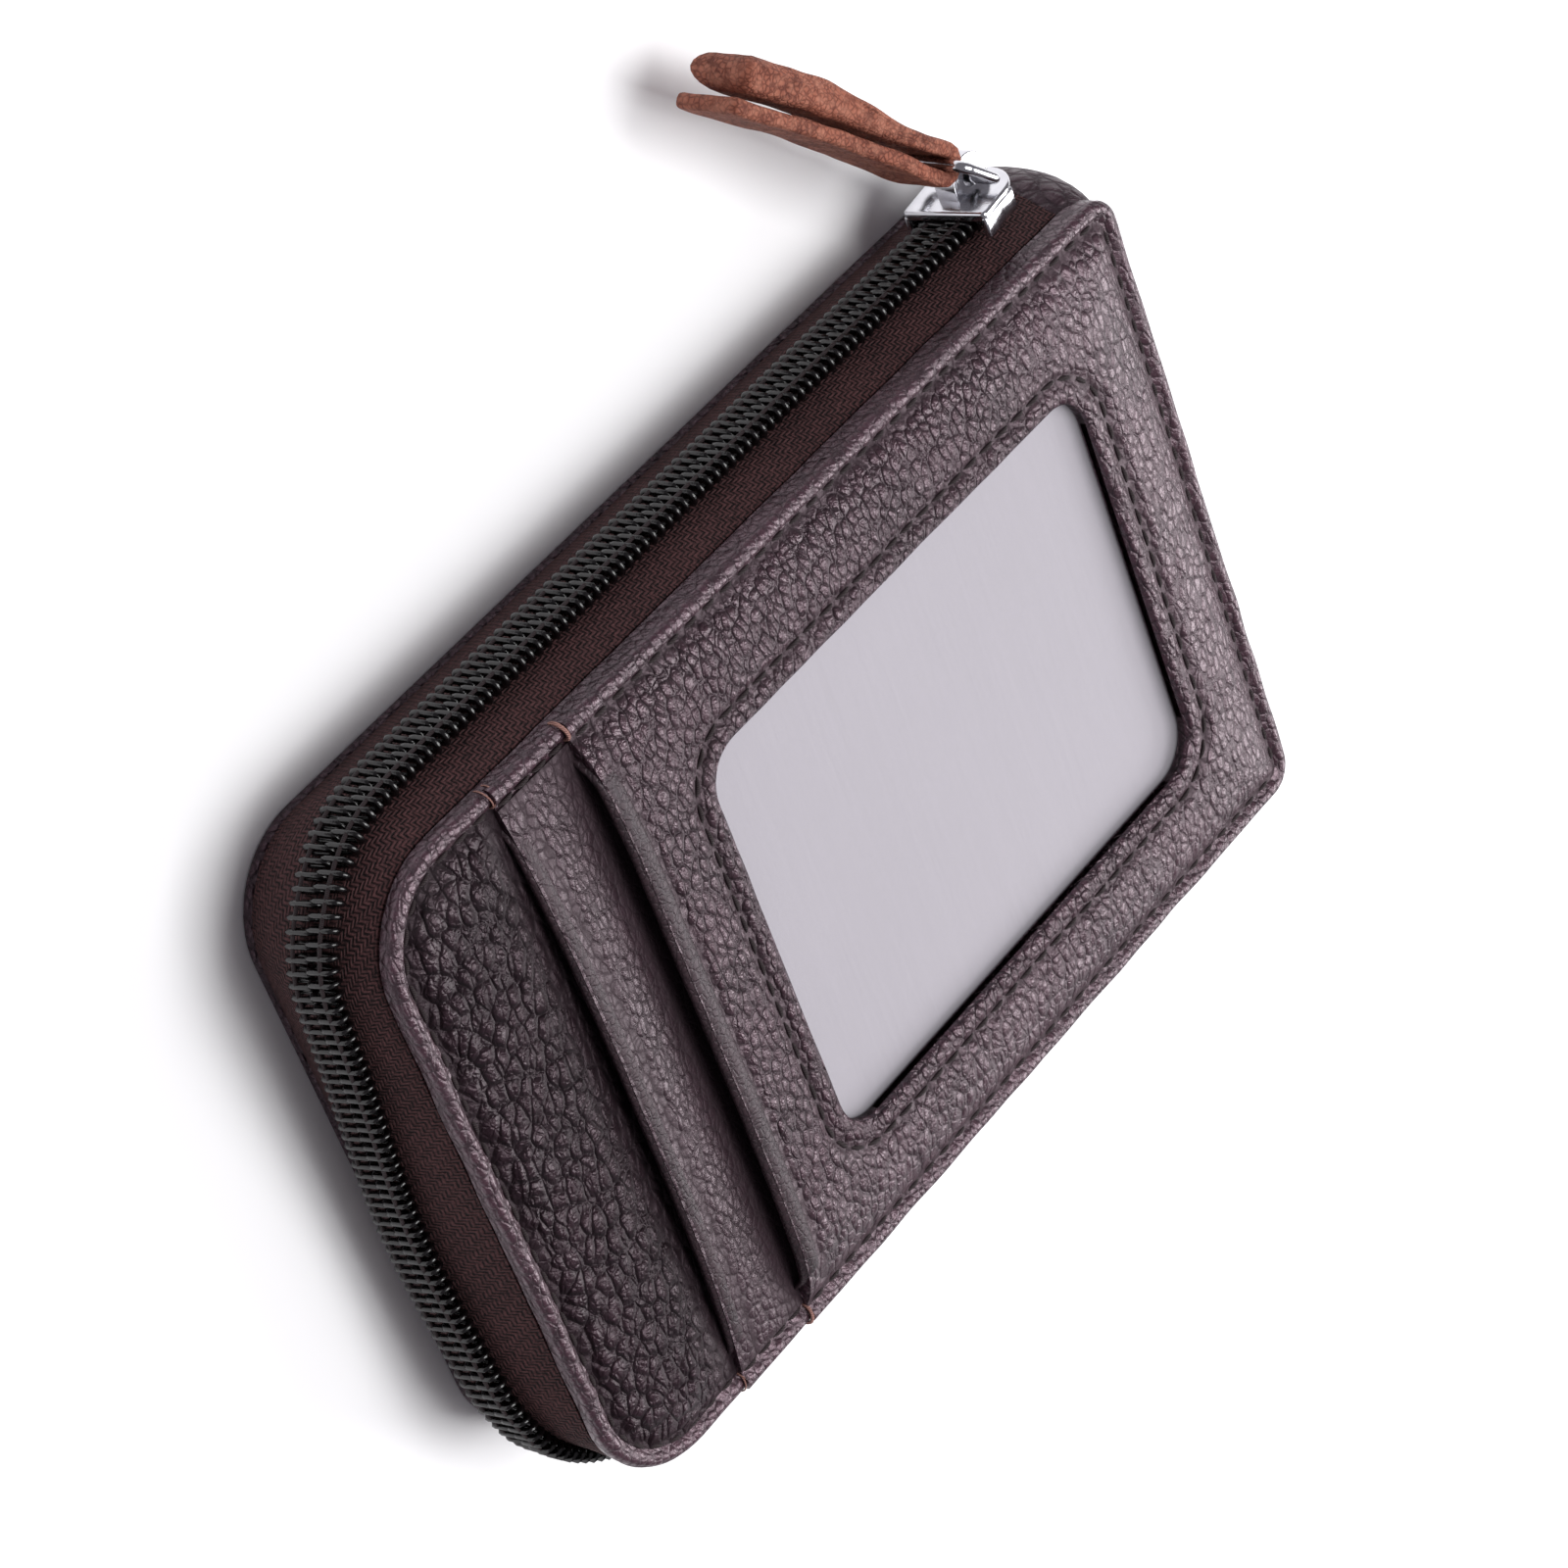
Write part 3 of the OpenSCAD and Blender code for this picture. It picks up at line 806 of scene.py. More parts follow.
def creases(x, y, size, seed):
    return noise.noise(Vector((x / size, y / size, seed)))


def base_height(x, y):
    """Puffed leather between the far rim and the first slot."""
    d = max(0.0, seam_distance(x, y, FAR_R, NEAR_R) - 2.0)
    under = smooth(STRIP_X + 2, STRIP_X - 5, x)
    return 0.25 + under * (1.5 * (1 - math.exp(-d / 1.7)) + 0.12 * creases(x, y, 7, 1.0))


def turned_line(x, edge):
    """1 along the pressed line where a layer's turned edge ends, 0 away from it."""
    return math.exp(-((x - edge - TURNED) / 0.45) ** 2)


def strip_height(x, y):
    """Strip: highest along its open edge at the middle of the width."""
    slope = smooth(WINDOW_X + 2, STRIP_X + 1, x)
    swell = 0.08 * creases(x, y, 9, 2.0) - 0.3 * turned_line(x, STRIP_X)
    return (0.15 + 1.8 * slope + swell) * across(y)


def window_height(x, y):
    """Window panel: puffed from its seams, with a lip round the window and a sewn groove."""
    d = max(0.0, min(seam_distance(x, y, NEAR_R, NEAR_R), HALF_W - abs(y)) - 2.0)
    if x < 0:
        d = max(0.0, HALF_W - abs(y) - 2.0)
    puff = 1.8 * (1 - math.exp(-d / 2.2))
    open_edge = 1.1 * across(y) * math.exp(-(x - WINDOW_X) / 7)
    w = window_distance(x, y)
    groove = -0.55 * math.exp(-((w - WINDOW_SEAM) / 0.6) ** 2)
    lip = -0.35 * math.exp(-max(w, 0) / 0.35)
    swell = 0.16 * creases(x, y, 11, 3.0) + 0.09 * creases(x, y, 4.5, 5.0)
    turned = -0.35 * turned_line(x, WINDOW_X) * across(y)
    return puff + open_edge + groove + lip + turned + swell * smooth(0, 3, d)


def rim_outline(top):
    """Section of the rolled rim: an outer bead and the floor of the seam's groove."""
    bottom = BASE_LOW.z
    points = [(-3.6, bottom), (-0.5, bottom), (0.05, bottom + 0.35)]
    for step in range(7):
        angle = math.radians(-20 + step * 25)
        points.append((-0.72 + 0.86 * math.cos(angle), top - 0.75 + 0.8 * math.sin(angle)))
    points.append((-1.62, top - 0.5))
    points.append((-SEAM_IN, top - 0.55))
    points.append((-2.6, top - 0.6))
    points.append((-3.6, top - 1.0))
    return points


RIM_TOP = BASE_TOP + 0.75
LAYER = 0.55
TURNED = 2.3


def ruffled(obj, amount, size, seed):
    """Slight unevenness of hand-turned leather."""
    def rule(p):
        side = noise.noise(Vector((p.x / size, p.y / size, seed)))
        lift = noise.noise(Vector((p.x / size, p.y / size, seed + 9)))
        out = Vector((p.x / HALF_L, p.y / HALF_W, 0)).normalized()
        return p + out * side * amount + Vector((0, 0, lift * amount))
    move_points(obj, rule)


def finish_leather(obj, material, replaced=()):
    """Finishes a leather piece of the front cover."""
    return finish_piece(obj, material, "front_cover", replaced, 80)


def finish_rim(rim, replaced=()):
    """Finishes a stretch of the rolled rim."""
    ruffled(rim, 0.12, 5, 1)
    return finish_piece(rim, RIM_GRAIN, "front_cover", replaced)


def front_base():
    """The base panel, with the rim round its bare end and a plain layer under the other two."""
    sheet = leather_sheet(
        "base_sheet", -HALF_L + 0.1, STRIP_X + 8, -HALF_W + 0.1, HALF_W - 0.1, BASE_TOP, 1.1, 0.8)
    outline = rounded_block(
        "outline_block", (-HALF_L + 0.6, -HALF_W + 0.6, 10), (HALF_L, HALF_W - 0.6, 30), FAR_R - 0.6, 1.0)
    cut(sheet, outline, "INTERSECT")
    puff(sheet, base_height)
    # Painted shade: the fold mask darkens the base next to the strip's edge, where the base runs under it,
    # and along the rim.
    mark_folds_and_painted_shade(sheet, lambda p: max(smooth(STRIP_X - 4, STRIP_X - 0.5, p.x), rim_fold_painted_shade(p)))
    finish_leather(sheet, BIG_GRAIN, ["base_panel_leather"])
    finish_rim(sweep_zip_sides("far_rim", rim_outline(RIM_TOP), STRIP_X - 0.05, 1.2, 16), ["base_rim"])
    under = rounded_block(
        "under_layer", (STRIP_X + 0.5, -HALF_W + 0.8, BASE_LOW.z), (HALF_L - 0.8, HALF_W - 0.8, BASE_TOP),
        0.5, 2.2, 6)
    finish_piece(under, BIG_GRAIN, "front_cover")


def strip_rim():
    """The strip's rim along both long sides."""
    section = rim_outline(RIM_TOP + LAYER)
    sides = [sweep_straight("strip_rim", section, STRIP_X, WINDOW_X, side, 1.2) for side in (1, -1)]
    finish_rim(joined("strip_rim", sides))


def rolled_edge(name, x, top, thickness, height, half_w):
    """Turned, slightly flattened open edge of a layer, which follows the layer's crown."""
    edge = rod(name, 16, thickness / 2, 2 * half_w, (x + 0.8, 0, top - thickness / 2))
    edge.scale = (2.1, 1, 1)
    settle(edge)
    divided(edge, 70, lambda p, d: abs(d.y) > half_w)
    puff(edge, lambda _, y: height(x, y) - 1.9 * smooth(half_w - 3.6, half_w, abs(y)))
    return edge


def slot_strip():
    """The middle strip, with its turned open edge and its own stretch of rim."""
    top = BASE_TOP + 0.95
    half = HALF_W - 2.1
    sheet = leather_sheet("strip_sheet", STRIP_X, WINDOW_X + 6, -half, half, top, 1.2, 0.8)
    puff(sheet, strip_height)
    # Painted shade: the fold mask darkens the strip where it runs under the window panel, along its turned
    # line and along the rim.
    mark_folds_and_painted_shade(sheet, lambda p: max(
        smooth(WINDOW_X - 4, WINDOW_X - 0.5, p.x), 0.8 * turned_line(p.x, STRIP_X), rim_fold_painted_shade(p)))
    finish_leather(sheet, STRIP_GRAIN, ["slot_strip_leather"])
    edge = rolled_edge("strip_edge", STRIP_X, top + 0.06, 1.1, strip_height, half)
    finish_leather(edge, EDGE_LEATHER)
    strip_rim()


def window_panel():
    """The puffed panel with the window in it, its turned open edge and its rim."""
    top = WINDOW_TOP
    sheet = leather_sheet("window_sheet", WINDOW_X, HALF_L - 0.1, -HALF_W + 0.1, HALF_W - 0.1, top, 1.3, 0.5)
    outline = rounded_block(
        "outline_block", (-HALF_L, -HALF_W + 1.0, 10), (HALF_L - 1.0, HALF_W - 1.0, 30), 1.0, NEAR_R - 0.9)
    cut(sheet, outline, "INTERSECT")
    opening = rounded_block(
        "opening_block",
        (WINDOW_CENTRE_X - WINDOW_HALF_L, -WINDOW_HALF_W, 10),
        (WINDOW_CENTRE_X + WINDOW_HALF_L, WINDOW_HALF_W, 30), WINDOW_R, WINDOW_R)
    cut(sheet, opening, "DIFFERENCE")
    puff(sheet, window_height)
    # Painted shade: the fold mask darkens the groove round the window, the turned line and the edge by the
    # rim.
    mark_folds_and_painted_shade(sheet, lambda p: max(
        math.exp(-((window_distance(p.x, p.y) - WINDOW_SEAM) / 0.55) ** 2),
        0.8 * turned_line(p.x, WINDOW_X), rim_fold_painted_shade(p)))
    finish_leather(sheet, MID_GRAIN, ["window_panel_leather"])
    edge = rolled_edge("window_panel_edge", WINDOW_X, top + 0.06, 1.2, window_height, HALF_W - 2.6)
    finish_leather(edge, EDGE_LEATHER)
    section = rim_outline(RIM_TOP + 2 * LAYER)
    finish_rim(sweep_spine_side("window_panel_rim", section, WINDOW_X - 0.05, NEAR_R, 1.2))
    window_lining()


def window_lining():
    """Painted wall of the window opening, from the film up to the lip."""
    low = (WINDOW_CENTRE_X - WINDOW_HALF_L, -WINDOW_HALF_W, FILM_HIGH.z)
    high = (WINDOW_CENTRE_X + WINDOW_HALF_L, WINDOW_HALF_W, FILM_HIGH.z + 1.1)
    wall = rounded_block("window_wall", low, high, WINDOW_R, WINDOW_R)
    bpy.ops.object.mode_set(mode="EDIT")
    select_parts(wall, "FACE", lambda p, n: abs(n.z) > 0.9)
    bpy.ops.mesh.delete(type="FACE")
    bpy.ops.object.mode_set(mode="OBJECT")
    apply_modifier(wall, "SOLIDIFY", thickness=0.5, offset=1.0)
    apply_modifier(wall, "BEVEL", width=0.2, segments=2, limit_method="ANGLE")
    finish_piece(wall, EDGE, "front_cover")


def stitch(length):
    """One stitch lying along X: a short thread that dips at both ends."""
    bpy.ops.mesh.primitive_uv_sphere_add(segments=8, ring_count=6, radius=1, rotation=(0, math.pi / 2, 0))
    model = added("stitch")
    settle(model)
    half = length / 2
    move_points(model, lambda p: Vector((p.x * half, p.y * 0.24, p.z * 0.2 - 0.22 * p.x * p.x)))
    return model


def seam(name, places, replaced, body="front_cover"):
    """A row of stitches."""
    piece = repeat(name, stitch(STITCH_PITCH * 0.82), places)
    return finish_piece(piece, THREAD, body, replaced, 80)


def ring_places(grow, height):
    """Places of stitches round the window at a margin outside it."""
    half_l = WINDOW_HALF_L + grow
    half_w = WINDOW_HALF_W + grow
    r = WINDOW_R + grow
    arc = r * math.pi / 2
    sides = [2 * (half_l - r), 2 * (half_w - r), 2 * (half_l - r), 2 * (half_w - r)]
    total = sum(sides) + 4 * arc
    count = round(total / STITCH_PITCH)
    corner = [
        (half_l - r, half_w - r), (-(half_l - r), half_w - r),
        (-(half_l - r), -(half_w - r)), (half_l - r, -(half_w - r))]
    lengths = [part for k in range(4) for part in (arc, sides[k])]
    places = []
    for i in range(count):
        s = total * i / count
        k = 0
        while s > lengths[k]:
            s -= lengths[k]
            k += 1
        quarter = k // 2
        start = quarter * math.pi / 2
        cx, cy = corner[quarter]
        angle = start + (s / r if k % 2 == 0 else math.pi / 2)
        x = cx + r * math.cos(angle)
        y = cy + r * math.sin(angle)
        if k % 2:
            x -= s * math.sin(angle)
            y += s * math.cos(angle)
        x += WINDOW_CENTRE_X
        z = height(x, y)
        places.append(placed((x, y, z), angle + math.pi / 2))
    return places


def straight_places(x0, x1, y, height):
    count = max(1, round((x1 - x0) / STITCH_PITCH))
    step = (x1 - x0) / count
    return [Matrix.Translation((x0 + (i + 0.5) * step, y, height)) for i in range(count)]


def zip_side_places(end_x, height):
    """Places of stitches in the groove round the three zipped sides."""
    shift = CHAIN_END_X - end_x
    total = zip_length(end_x, -SEAM_IN)
    count = round(total / STITCH_PITCH)
    places = []
    for i in range(count):
        point, angle = zip_place(shift + total * (i + 0.5) / count, -SEAM_IN)
        point.z = height
        places.append(placed(point, angle))
    return places


def rim_places(x0, x1, height):
    """Places of stitches in the rim along both long sides."""
    y = HALF_W - SEAM_IN
    return straight_places(x0, x1, y, height) + straight_places(x0, x1, -y, height)


def front_seams():
    """The sewn lines of the front, and the one that comes out on the back."""
    groove = RIM_TOP - 0.42
    places = ring_places(WINDOW_SEAM, lambda x, y: WINDOW_TOP + window_height(x, y) + 0.2)
    seam("window_seam", places, ["window_seam_thread"])
    seam("far_rim_seam", zip_side_places(STRIP_X - 0.3, groove), ["rim_seam_thread"])
    places = rim_places(STRIP_X + 0.2, WINDOW_X - 0.2, groove + LAYER)
    seam("strip_rim_seam", places, ["strip_seam_thread"])
    places = rim_places(WINDOW_X + 0.3, HALF_L - NEAR_R, groove + 2 * LAYER)
    x = HALF_L - SEAM_IN
    count = round(2 * (HALF_W - NEAR_R) / STITCH_PITCH)
    for i in range(count):
        spot = -(HALF_W - NEAR_R) + (i + 0.5) * 2 * (HALF_W - NEAR_R) / count
        places.append(placed((x, spot, groove + 2 * LAYER), math.pi / 2))
    seam("window_rim_seam", places, ["window_rim_thread"])
    places = zip_side_places(HALF_L - NEAR_R, 0.16)
    seam("back_seam", places, ["back_seam_thread"], "back_cover")


def thread_tack(name, x, side, turns, thickness, replaced=()):
    """Turns of pale thread over the rim where a slot's edge begins."""
    loops = []
    for i in range(turns):
        bpy.ops.mesh.primitive_torus_add(
            major_segments=24, minor_segments=6, major_radius=1.02, minor_radius=thickness / 2,
            location=(x - 0.2 + 0.4 * i, side * (HALF_W - 0.8), RIM_TOP - 0.75 + 0.15 * i),
            rotation=(0, math.pi / 2, side * (0.2 - 0.5 * i)))
        loop = added(name)
        settle(loop)
        loops.append(loop)
    tack = joined(name, loops)
    return finish_piece(tack, PALE_THREAD, "front_cover", replaced)


def slot_tacks():
    for side, end in ((1, "top"), (-1, "bottom")):
        thread_tack(f"strip_tack_{end}", STRIP_X, side, 2, 0.16, [f"slot_tack_{end}"])
        tack = thread_tack(f"window_tack_{end}", WINDOW_X, side, 1, 0.38)
        tack.data.transform(Matrix.Translation((0, 0, (LAYER + 0.1) * MM)))


# ---------------------------------------------------------------- the zip
def bow(height):
    """Outward position of the tape at a height."""
    return BULGE * (1 - ((height - MID_Z) / TAPE_HALF_H) ** 2)


def tape_outline(low, high, flange_z=None, steps=8):
    """Section of a stretch of tape, with a sewn flange where it meets a panel."""
    heights = spread(low, high, steps)
    outer = [(bow(h), h) for h in heights]
    inner = [(bow(h) - TAPE_T, h) for h in reversed(heights)]
    if flange_z is None:
        return outer + inner
    if flange_z < MID_Z:
        return outer + inner[:-1] + [(-TAPE_T, low + TAPE_T), (-4, low + TAPE_T), (-4, low)]
    return outer + [(-4, high), (-4, high - TAPE_T), (-TAPE_T, high - TAPE_T)] + inner[1:]


FRONT_SPLIT_Z = ZIP_Z + 3.0


def blend_to_front(obj):
    """Moves a piece's world place, turn and scale into its mesh."""
    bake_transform(obj)


def blend_by_height(obj):
    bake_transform(obj)


def open_from_spine(obj):
    """Moves a front piece of the zip's world place, turn and scale into its mesh."""
    blend_to_front(obj)


def tape(name, outline, body, replaced):
    """A stretch of tape round the zipped sides, with its weave laid along it."""
    part = sweep_zip_sides(name, outline, TAPE_END_X, 2.0)
    lay_pattern(part, along_zip)
    drift(part)
    return finish_piece(part, TAPE, body, replaced, 60)


def zip_tapes():
    """The back tape, and the front tape in two stretches."""
    gap = 0.15
    tape("tape_back", tape_outline(LEATHER, ZIP_Z - gap, LEATHER), "back_cover", ["zip_tape_back"])
    outline = tape_outline(ZIP_Z + gap, FRONT_SPLIT_Z, None, 4)
    open_from_spine(tape("tape_front_edge", outline, None, ["zip_tape_front"]))
    outline = tape_outline(FRONT_SPLIT_Z, BASE_LOW.z, BASE_LOW.z, 5)
    upper = tape("tape_front", outline, None, ["zip_tape_front"])
    blend_to_front(upper)


def chain_tooth(side):
    """One turn of the chain: a flattened ring of nylon wire that reaches past the middle."""
    wire = 0.42
    reach = 0.74
    low = 1.17
    bpy.ops.mesh.primitive_torus_add(
        major_segments=12, minor_segments=6, major_radius=0.62, minor_radius=wire,
        rotation=(0, math.pi / 2, 0))
    model = added("chain_tooth")
    settle(model)
    centre = ZIP_Z - side * low

    def rule(p):
        stretched = reach if p.z > 0 else -reach
        lean = 0.14 * (p.z + stretched)
        return Vector((p.x * 0.7 + lean, p.y, p.z + stretched + centre))
    move_points(model, rule)
    return model


def drift(obj, stiff=False):
    """Lets the zip wander in height past the first corner, and tuck in along the far long side."""
    def rule(p):
        s, height = along_zip(p)
        room = ZIP_Z - LEATHER if height < ZIP_Z else BASE_LOW.z - ZIP_Z
        share = 1.0 if stiff else max(0.0, 1 - abs(height - ZIP_Z) / room)
        lift = 1.7 * math.exp(-((s - 7) / 17) ** 2) * smooth(-4, 9, s) - 2.5 * math.exp(-((s - 45) / 17) ** 2)
        tuck = 2.8 * smooth(60, 76, s) * (1.0 if stiff else max(0.0, bow(height) / BULGE))
        inward = Vector((CORNER_X - p.x, -CORNER_Y - p.y, 0)) if p.x < CORNER_X else Vector((0, 1, 0))
        if s < 60 or inward.length < 0.001:
            return p + Vector((0, 0, lift * share))
        return p + Vector((0, 0, lift * share)) + inward.normalized() * tuck
    move_points(obj, rule)


def chain_row(name, side, phase):
    out = (COIL_OUT + BULGE) / 2
    total = zip_length(CHAIN_END_X, out)
    count = round(total / TOOTH_PITCH)
    places = []
    for i in range(count):
        point, angle = zip_place(total * (i + phase) / count, out)
        places.append(placed(point, angle))
    return repeat(name, chain_tooth(side), places)


def chain_cord(name, side):
    """Sewing cord that holds the chain's turns to the tape."""
    height = ZIP_Z - side * 1.6
    out = COIL_OUT - 0.02
    section = [
        (out + 0.16 * math.cos(math.radians(a)), height + 0.22 * math.sin(math.radians(a)))
        for a in range(0, 360, 60)]
    return sweep_zip_sides(name, section, CHAIN_END_X, 2.0)


def zip_chain():
    """Both halves of the chain, and the cords that sew them down."""
    back = chain_row("chain_back", 1, 0.25)
    drift(back, True)
    finish_piece(back, CHAIN, "back_cover", ["zip_coil_back"], 80)
    front = chain_row("chain_front", -1, 0.75)
    drift(front, True)
    finish_piece(front, CHAIN, None, ["zip_coil_front"], 80)
    open_from_spine(front)
    for name, side, body in (("chain_cord_back", 1, "back_cover"), ("chain_cord_front", -1, None)):
        cord = chain_cord(name, side)
        drift(cord, True)
        finish_piece(cord, THREAD, body, angle=80)
        if not body:
            open_from_spine(cord)


def zip_stop():
    """Crimped metal stop over the chain's bottom end."""
    low, high = box_mm("zip_bottom_stop")
    middle = (low + high) / 2
    stop = block("zip_stop", middle, high - low)
    apply_modifier(stop, "BEVEL", width=0.35, segments=3)
    divided(stop, 4)

    def crimp(p):
        pinch = 0.3 * math.exp(-((p.z - middle.z) / 0.6) ** 2)
        return Vector((p.x, p.y + (pinch if p.y < middle.y else 0.0), p.z))
    move_points(stop, crimp)
    finish_piece(stop, METAL, "back_cover", ["zip_bottom_stop"], 60)


# ---------------------------------------------------------------- slider and pull
def slider_plate(middle, length, wide):
    """One plate of the slider, round at its head and square at its tail."""
    plate = block("slider_plate", middle, (length, 1.0, wide))
    bpy.ops.object.mode_set(mode="EDIT")
    select_parts(plate, "EDGE", lambda p, d: abs(d.y) > 0.5 and p.x > middle[0])
    bpy.ops.mesh.bevel(offset=wide * 0.43, segments=9, affect="EDGES")
    select_parts(plate, "EDGE", lambda p, d: abs(d.y) > 0.5 and p.x < middle[0] - 3)
    bpy.ops.mesh.bevel(offset=0.5, segments=3, affect="EDGES")
    bpy.ops.object.mode_set(mode="OBJECT")
    return plate


def slider():
    """Two plates with a neck between them, the outer one with its sides turned in over the chain."""
    middle = (SLIDER_LOW + SLIDER_HIGH) / 2
    length = SLIDER_HIGH.x - SLIDER_LOW.x
    width = SLIDER_HIGH.z - SLIDER_LOW.z
    outer_y = SLIDER_HIGH.y - 0.5
    inner_y = SLIDER_LOW.y + 0.5
    parts = [slider_plate((middle.x, outer_y, middle.z), length, width)]
    parts.append(slider_plate((middle.x, inner_y, middle.z), length, 6.6))
    for side in (-1, 1):
        spot = (SLIDER_LOW.x + 2.75, outer_y - 1.15, middle.z + side * (width / 2 - 0.35))
        parts.append(block("slider_flange", spot, (5.5, 2.3, 0.7)))
    for part in parts:
        apply_modifier(part, "BEVEL", width=0.28, segments=3, limit_method="ANGLE", angle_limit=0.6)
    spot = (SLIDER_HIGH.x - 1.8, (outer_y + SLIDER_LOW.y) / 2, middle.z)
    parts.append(block("slider_neck", spot, (2.6, outer_y - SLIDER_LOW.y, 0.5)))
    body = joined("slider_shell", parts)
    skew = Matrix.Rotation(math.radians(8), 4, "Y")
    pivot = Matrix.Translation(LOOP_PIN)
    body.data.transform(pivot @ skew @ pivot.inverted())
    finish_piece(body, METAL, "slider", ["slider_body"], 40)
    slider_lug()


def slider_lug():
    """Domed lug on the slider, with the loop's wire through it."""
    low, high = box_mm("slider_bridge")
    centre = (low + high) / 2
    length = high.x - low.x
    top = (centre.x, high.y - length / 2, centre.z)
    bpy.ops.mesh.primitive_cylinder_add(vertices=40, radius=length / 2, depth=high.z - low.z, location=top)
    lug = added("slider_lug")
    settle(lug)
    bpy.ops.object.mode_set(mode="EDIT")
    select_parts(lug, "VERT", lambda p: p.y < high.y - length / 2 - 0.1)
    bpy.ops.transform.resize(value=(1, 0.0, 1), center_override=(centre.x, low.y - 0.3, centre.z))
    bpy.ops.object.mode_set(mode="OBJECT")
    bpy.ops.mesh.primitive_cylinder_add(
        vertices=28, radius=0.95, depth=10, location=(LOOP_PIN.x, LOOP_PIN.y, LOOP_PIN.z))
    hole = added("lug_hole")
    settle(hole)
    cut(lug, hole, "DIFFERENCE")
    apply_modifier(lug, "BEVEL", width=0.32, segments=3, limit_method="ANGLE", angle_limit=0.7)
    finish_piece(lug, METAL, "slider", ["slider_bridge"], 40)


def lay_along_pull(obj, point):
    """Moves a piece from the origin to a point, and turns it from X to the pull's direction."""
    direction = (PULL_BAR - LOOP_PIN).normalized()
    obj.data.transform(placed(point, math.atan2(direction.y, direction.x)))


def wire_loop():
    """Bent wire with soft corners, through the lug and through the pull's fold."""
    low, high = box_mm("pull_loop")
    half_w = (high.z - low.z) / 2 - 0.55
    reach = (PULL_BAR - LOOP_PIN).length
    bpy.ops.mesh.primitive_plane_add(size=1, location=(reach / 2, 0, 0), rotation=(math.pi / 2, 0, 0))
    loop = added("wire_loop")
    loop.scale = (reach, 2 * half_w, 1)
    settle(loop)
    bpy.ops.object.mode_set(mode="EDIT")
    bpy.ops.mesh.select_all(action="SELECT")
    bpy.ops.mesh.bevel(offset=1.1, segments=6, affect="VERTICES")
    bpy.ops.mesh.delete(type="ONLY_FACE")
    bpy.ops.object.mode_set(mode="OBJECT")
    bpy.ops.object.convert(target="CURVE")
    loop = added("wire_loop")
    loop.data.bevel_depth = 0.55
    loop.data.bevel_resolution = 4
    pick(loop)
    bpy.ops.object.convert(target="MESH")
    loop = added("wire_loop")
    outward(loop)
    lay_along_pull(loop, LOOP_PIN)
    finish_piece(loop, METAL, "loop", ["pull_loop"], 60)


def strap_line(t):
    """Point and half thickness along the strap, from the thin leg's end round the fold to the thick one's."""
    thin = 0.75
    thick = 1.65
    leg = 30.6
    bend = 0.63 + thin
    if t < 0.47:
        x = leg * (1 - t / 0.47)
        y = bend - 0.35 * smooth(0, 8, x) + 0.25 * smooth(10, leg, x) + 0.1 * math.sin(x / 4)
        return x, y, thin
    if t > 0.53:
        x = leg * 0.92 * (t - 0.53) / 0.47
        half = thin + (thick - thin) * smooth(4, 20, x)
        lift = 0.35 * math.exp(-((x - 18) / 7) ** 2)
        return x, -(bend - 0.35 * smooth(0, 8, x) + 0.75 * smooth(4, 20, x) + lift), half
    angle = math.pi * (t - 0.47) / 0.06
    return -bend * math.sin(angle), bend * math.cos(angle), thin


def strap_outline():
    """Both long sides of the folded strap and its rounded thick end, as points seen from above."""
    steps = 96
    line = [strap_line(i / steps) for i in range(steps + 1)]
    outer = []
    inner = []
    for i, (x, y, half) in enumerate(line):
        before = line[max(i - 1, 0)]
        after = line[min(i + 1, steps)]
        along = Vector((after[0] - before[0], after[1] - before[1])).normalized()
        outer.append((x - along.y * half, y + along.x * half))
        inner.append((x + along.y * half, y - along.x * half))
    x, y, half = line[-1]
    turns = [math.radians(d) for d in range(60, -61, -20)]
    cap = [(x + half * math.cos(a), y - half * math.sin(a)) for a in turns]
    return outer + cap[::-1] + inner[::-1]


def leather_strap():
    """Leather strip folded round the loop's bar: a thin straight leg and a thick rounded one."""
    low, high = box_mm("leather_pull")
    width = high.z - low.z
    strap = closed_line("leather_strap", [(x, y, -width / 2) for x, y in strap_outline()])
    pick(strap)
    bpy.ops.object.mode_set(mode="EDIT")
    bpy.ops.mesh.select_all(action="SELECT")
    bpy.ops.mesh.edge_face_add()
    run((0, 0, width / 8), 8)
    bpy.ops.object.mode_set(mode="OBJECT")
    outward(strap)
    apply_modifier(strap, "BEVEL", width=0.55, segments=3, limit_method="ANGLE", angle_limit=1.0)

    def worn(p):
        push = 0.14 * noise.noise(Vector((p.x / 3.2, p.y / 3, p.z / 2.4)))
        rolled = abs(abs(p.y) - 1.8) / 1.6 if p.y < 0 else 0.0
        narrow = 1 - 0.12 * smooth(8, 0, p.x) + 0.04 * math.sin(p.x / 4)
        narrow -= 0.34 * min(rolled, 1.0) ** 2 * smooth(5, 14, p.x)
        return Vector((p.x, p.y + push, p.z * narrow + 0.1 * math.sin(p.x / 7)))
    move_points(strap, worn)
    lay_along_pull(strap, PULL_BAR)
    finish_piece(strap, TAN, "pull", ["leather_pull"], 60)


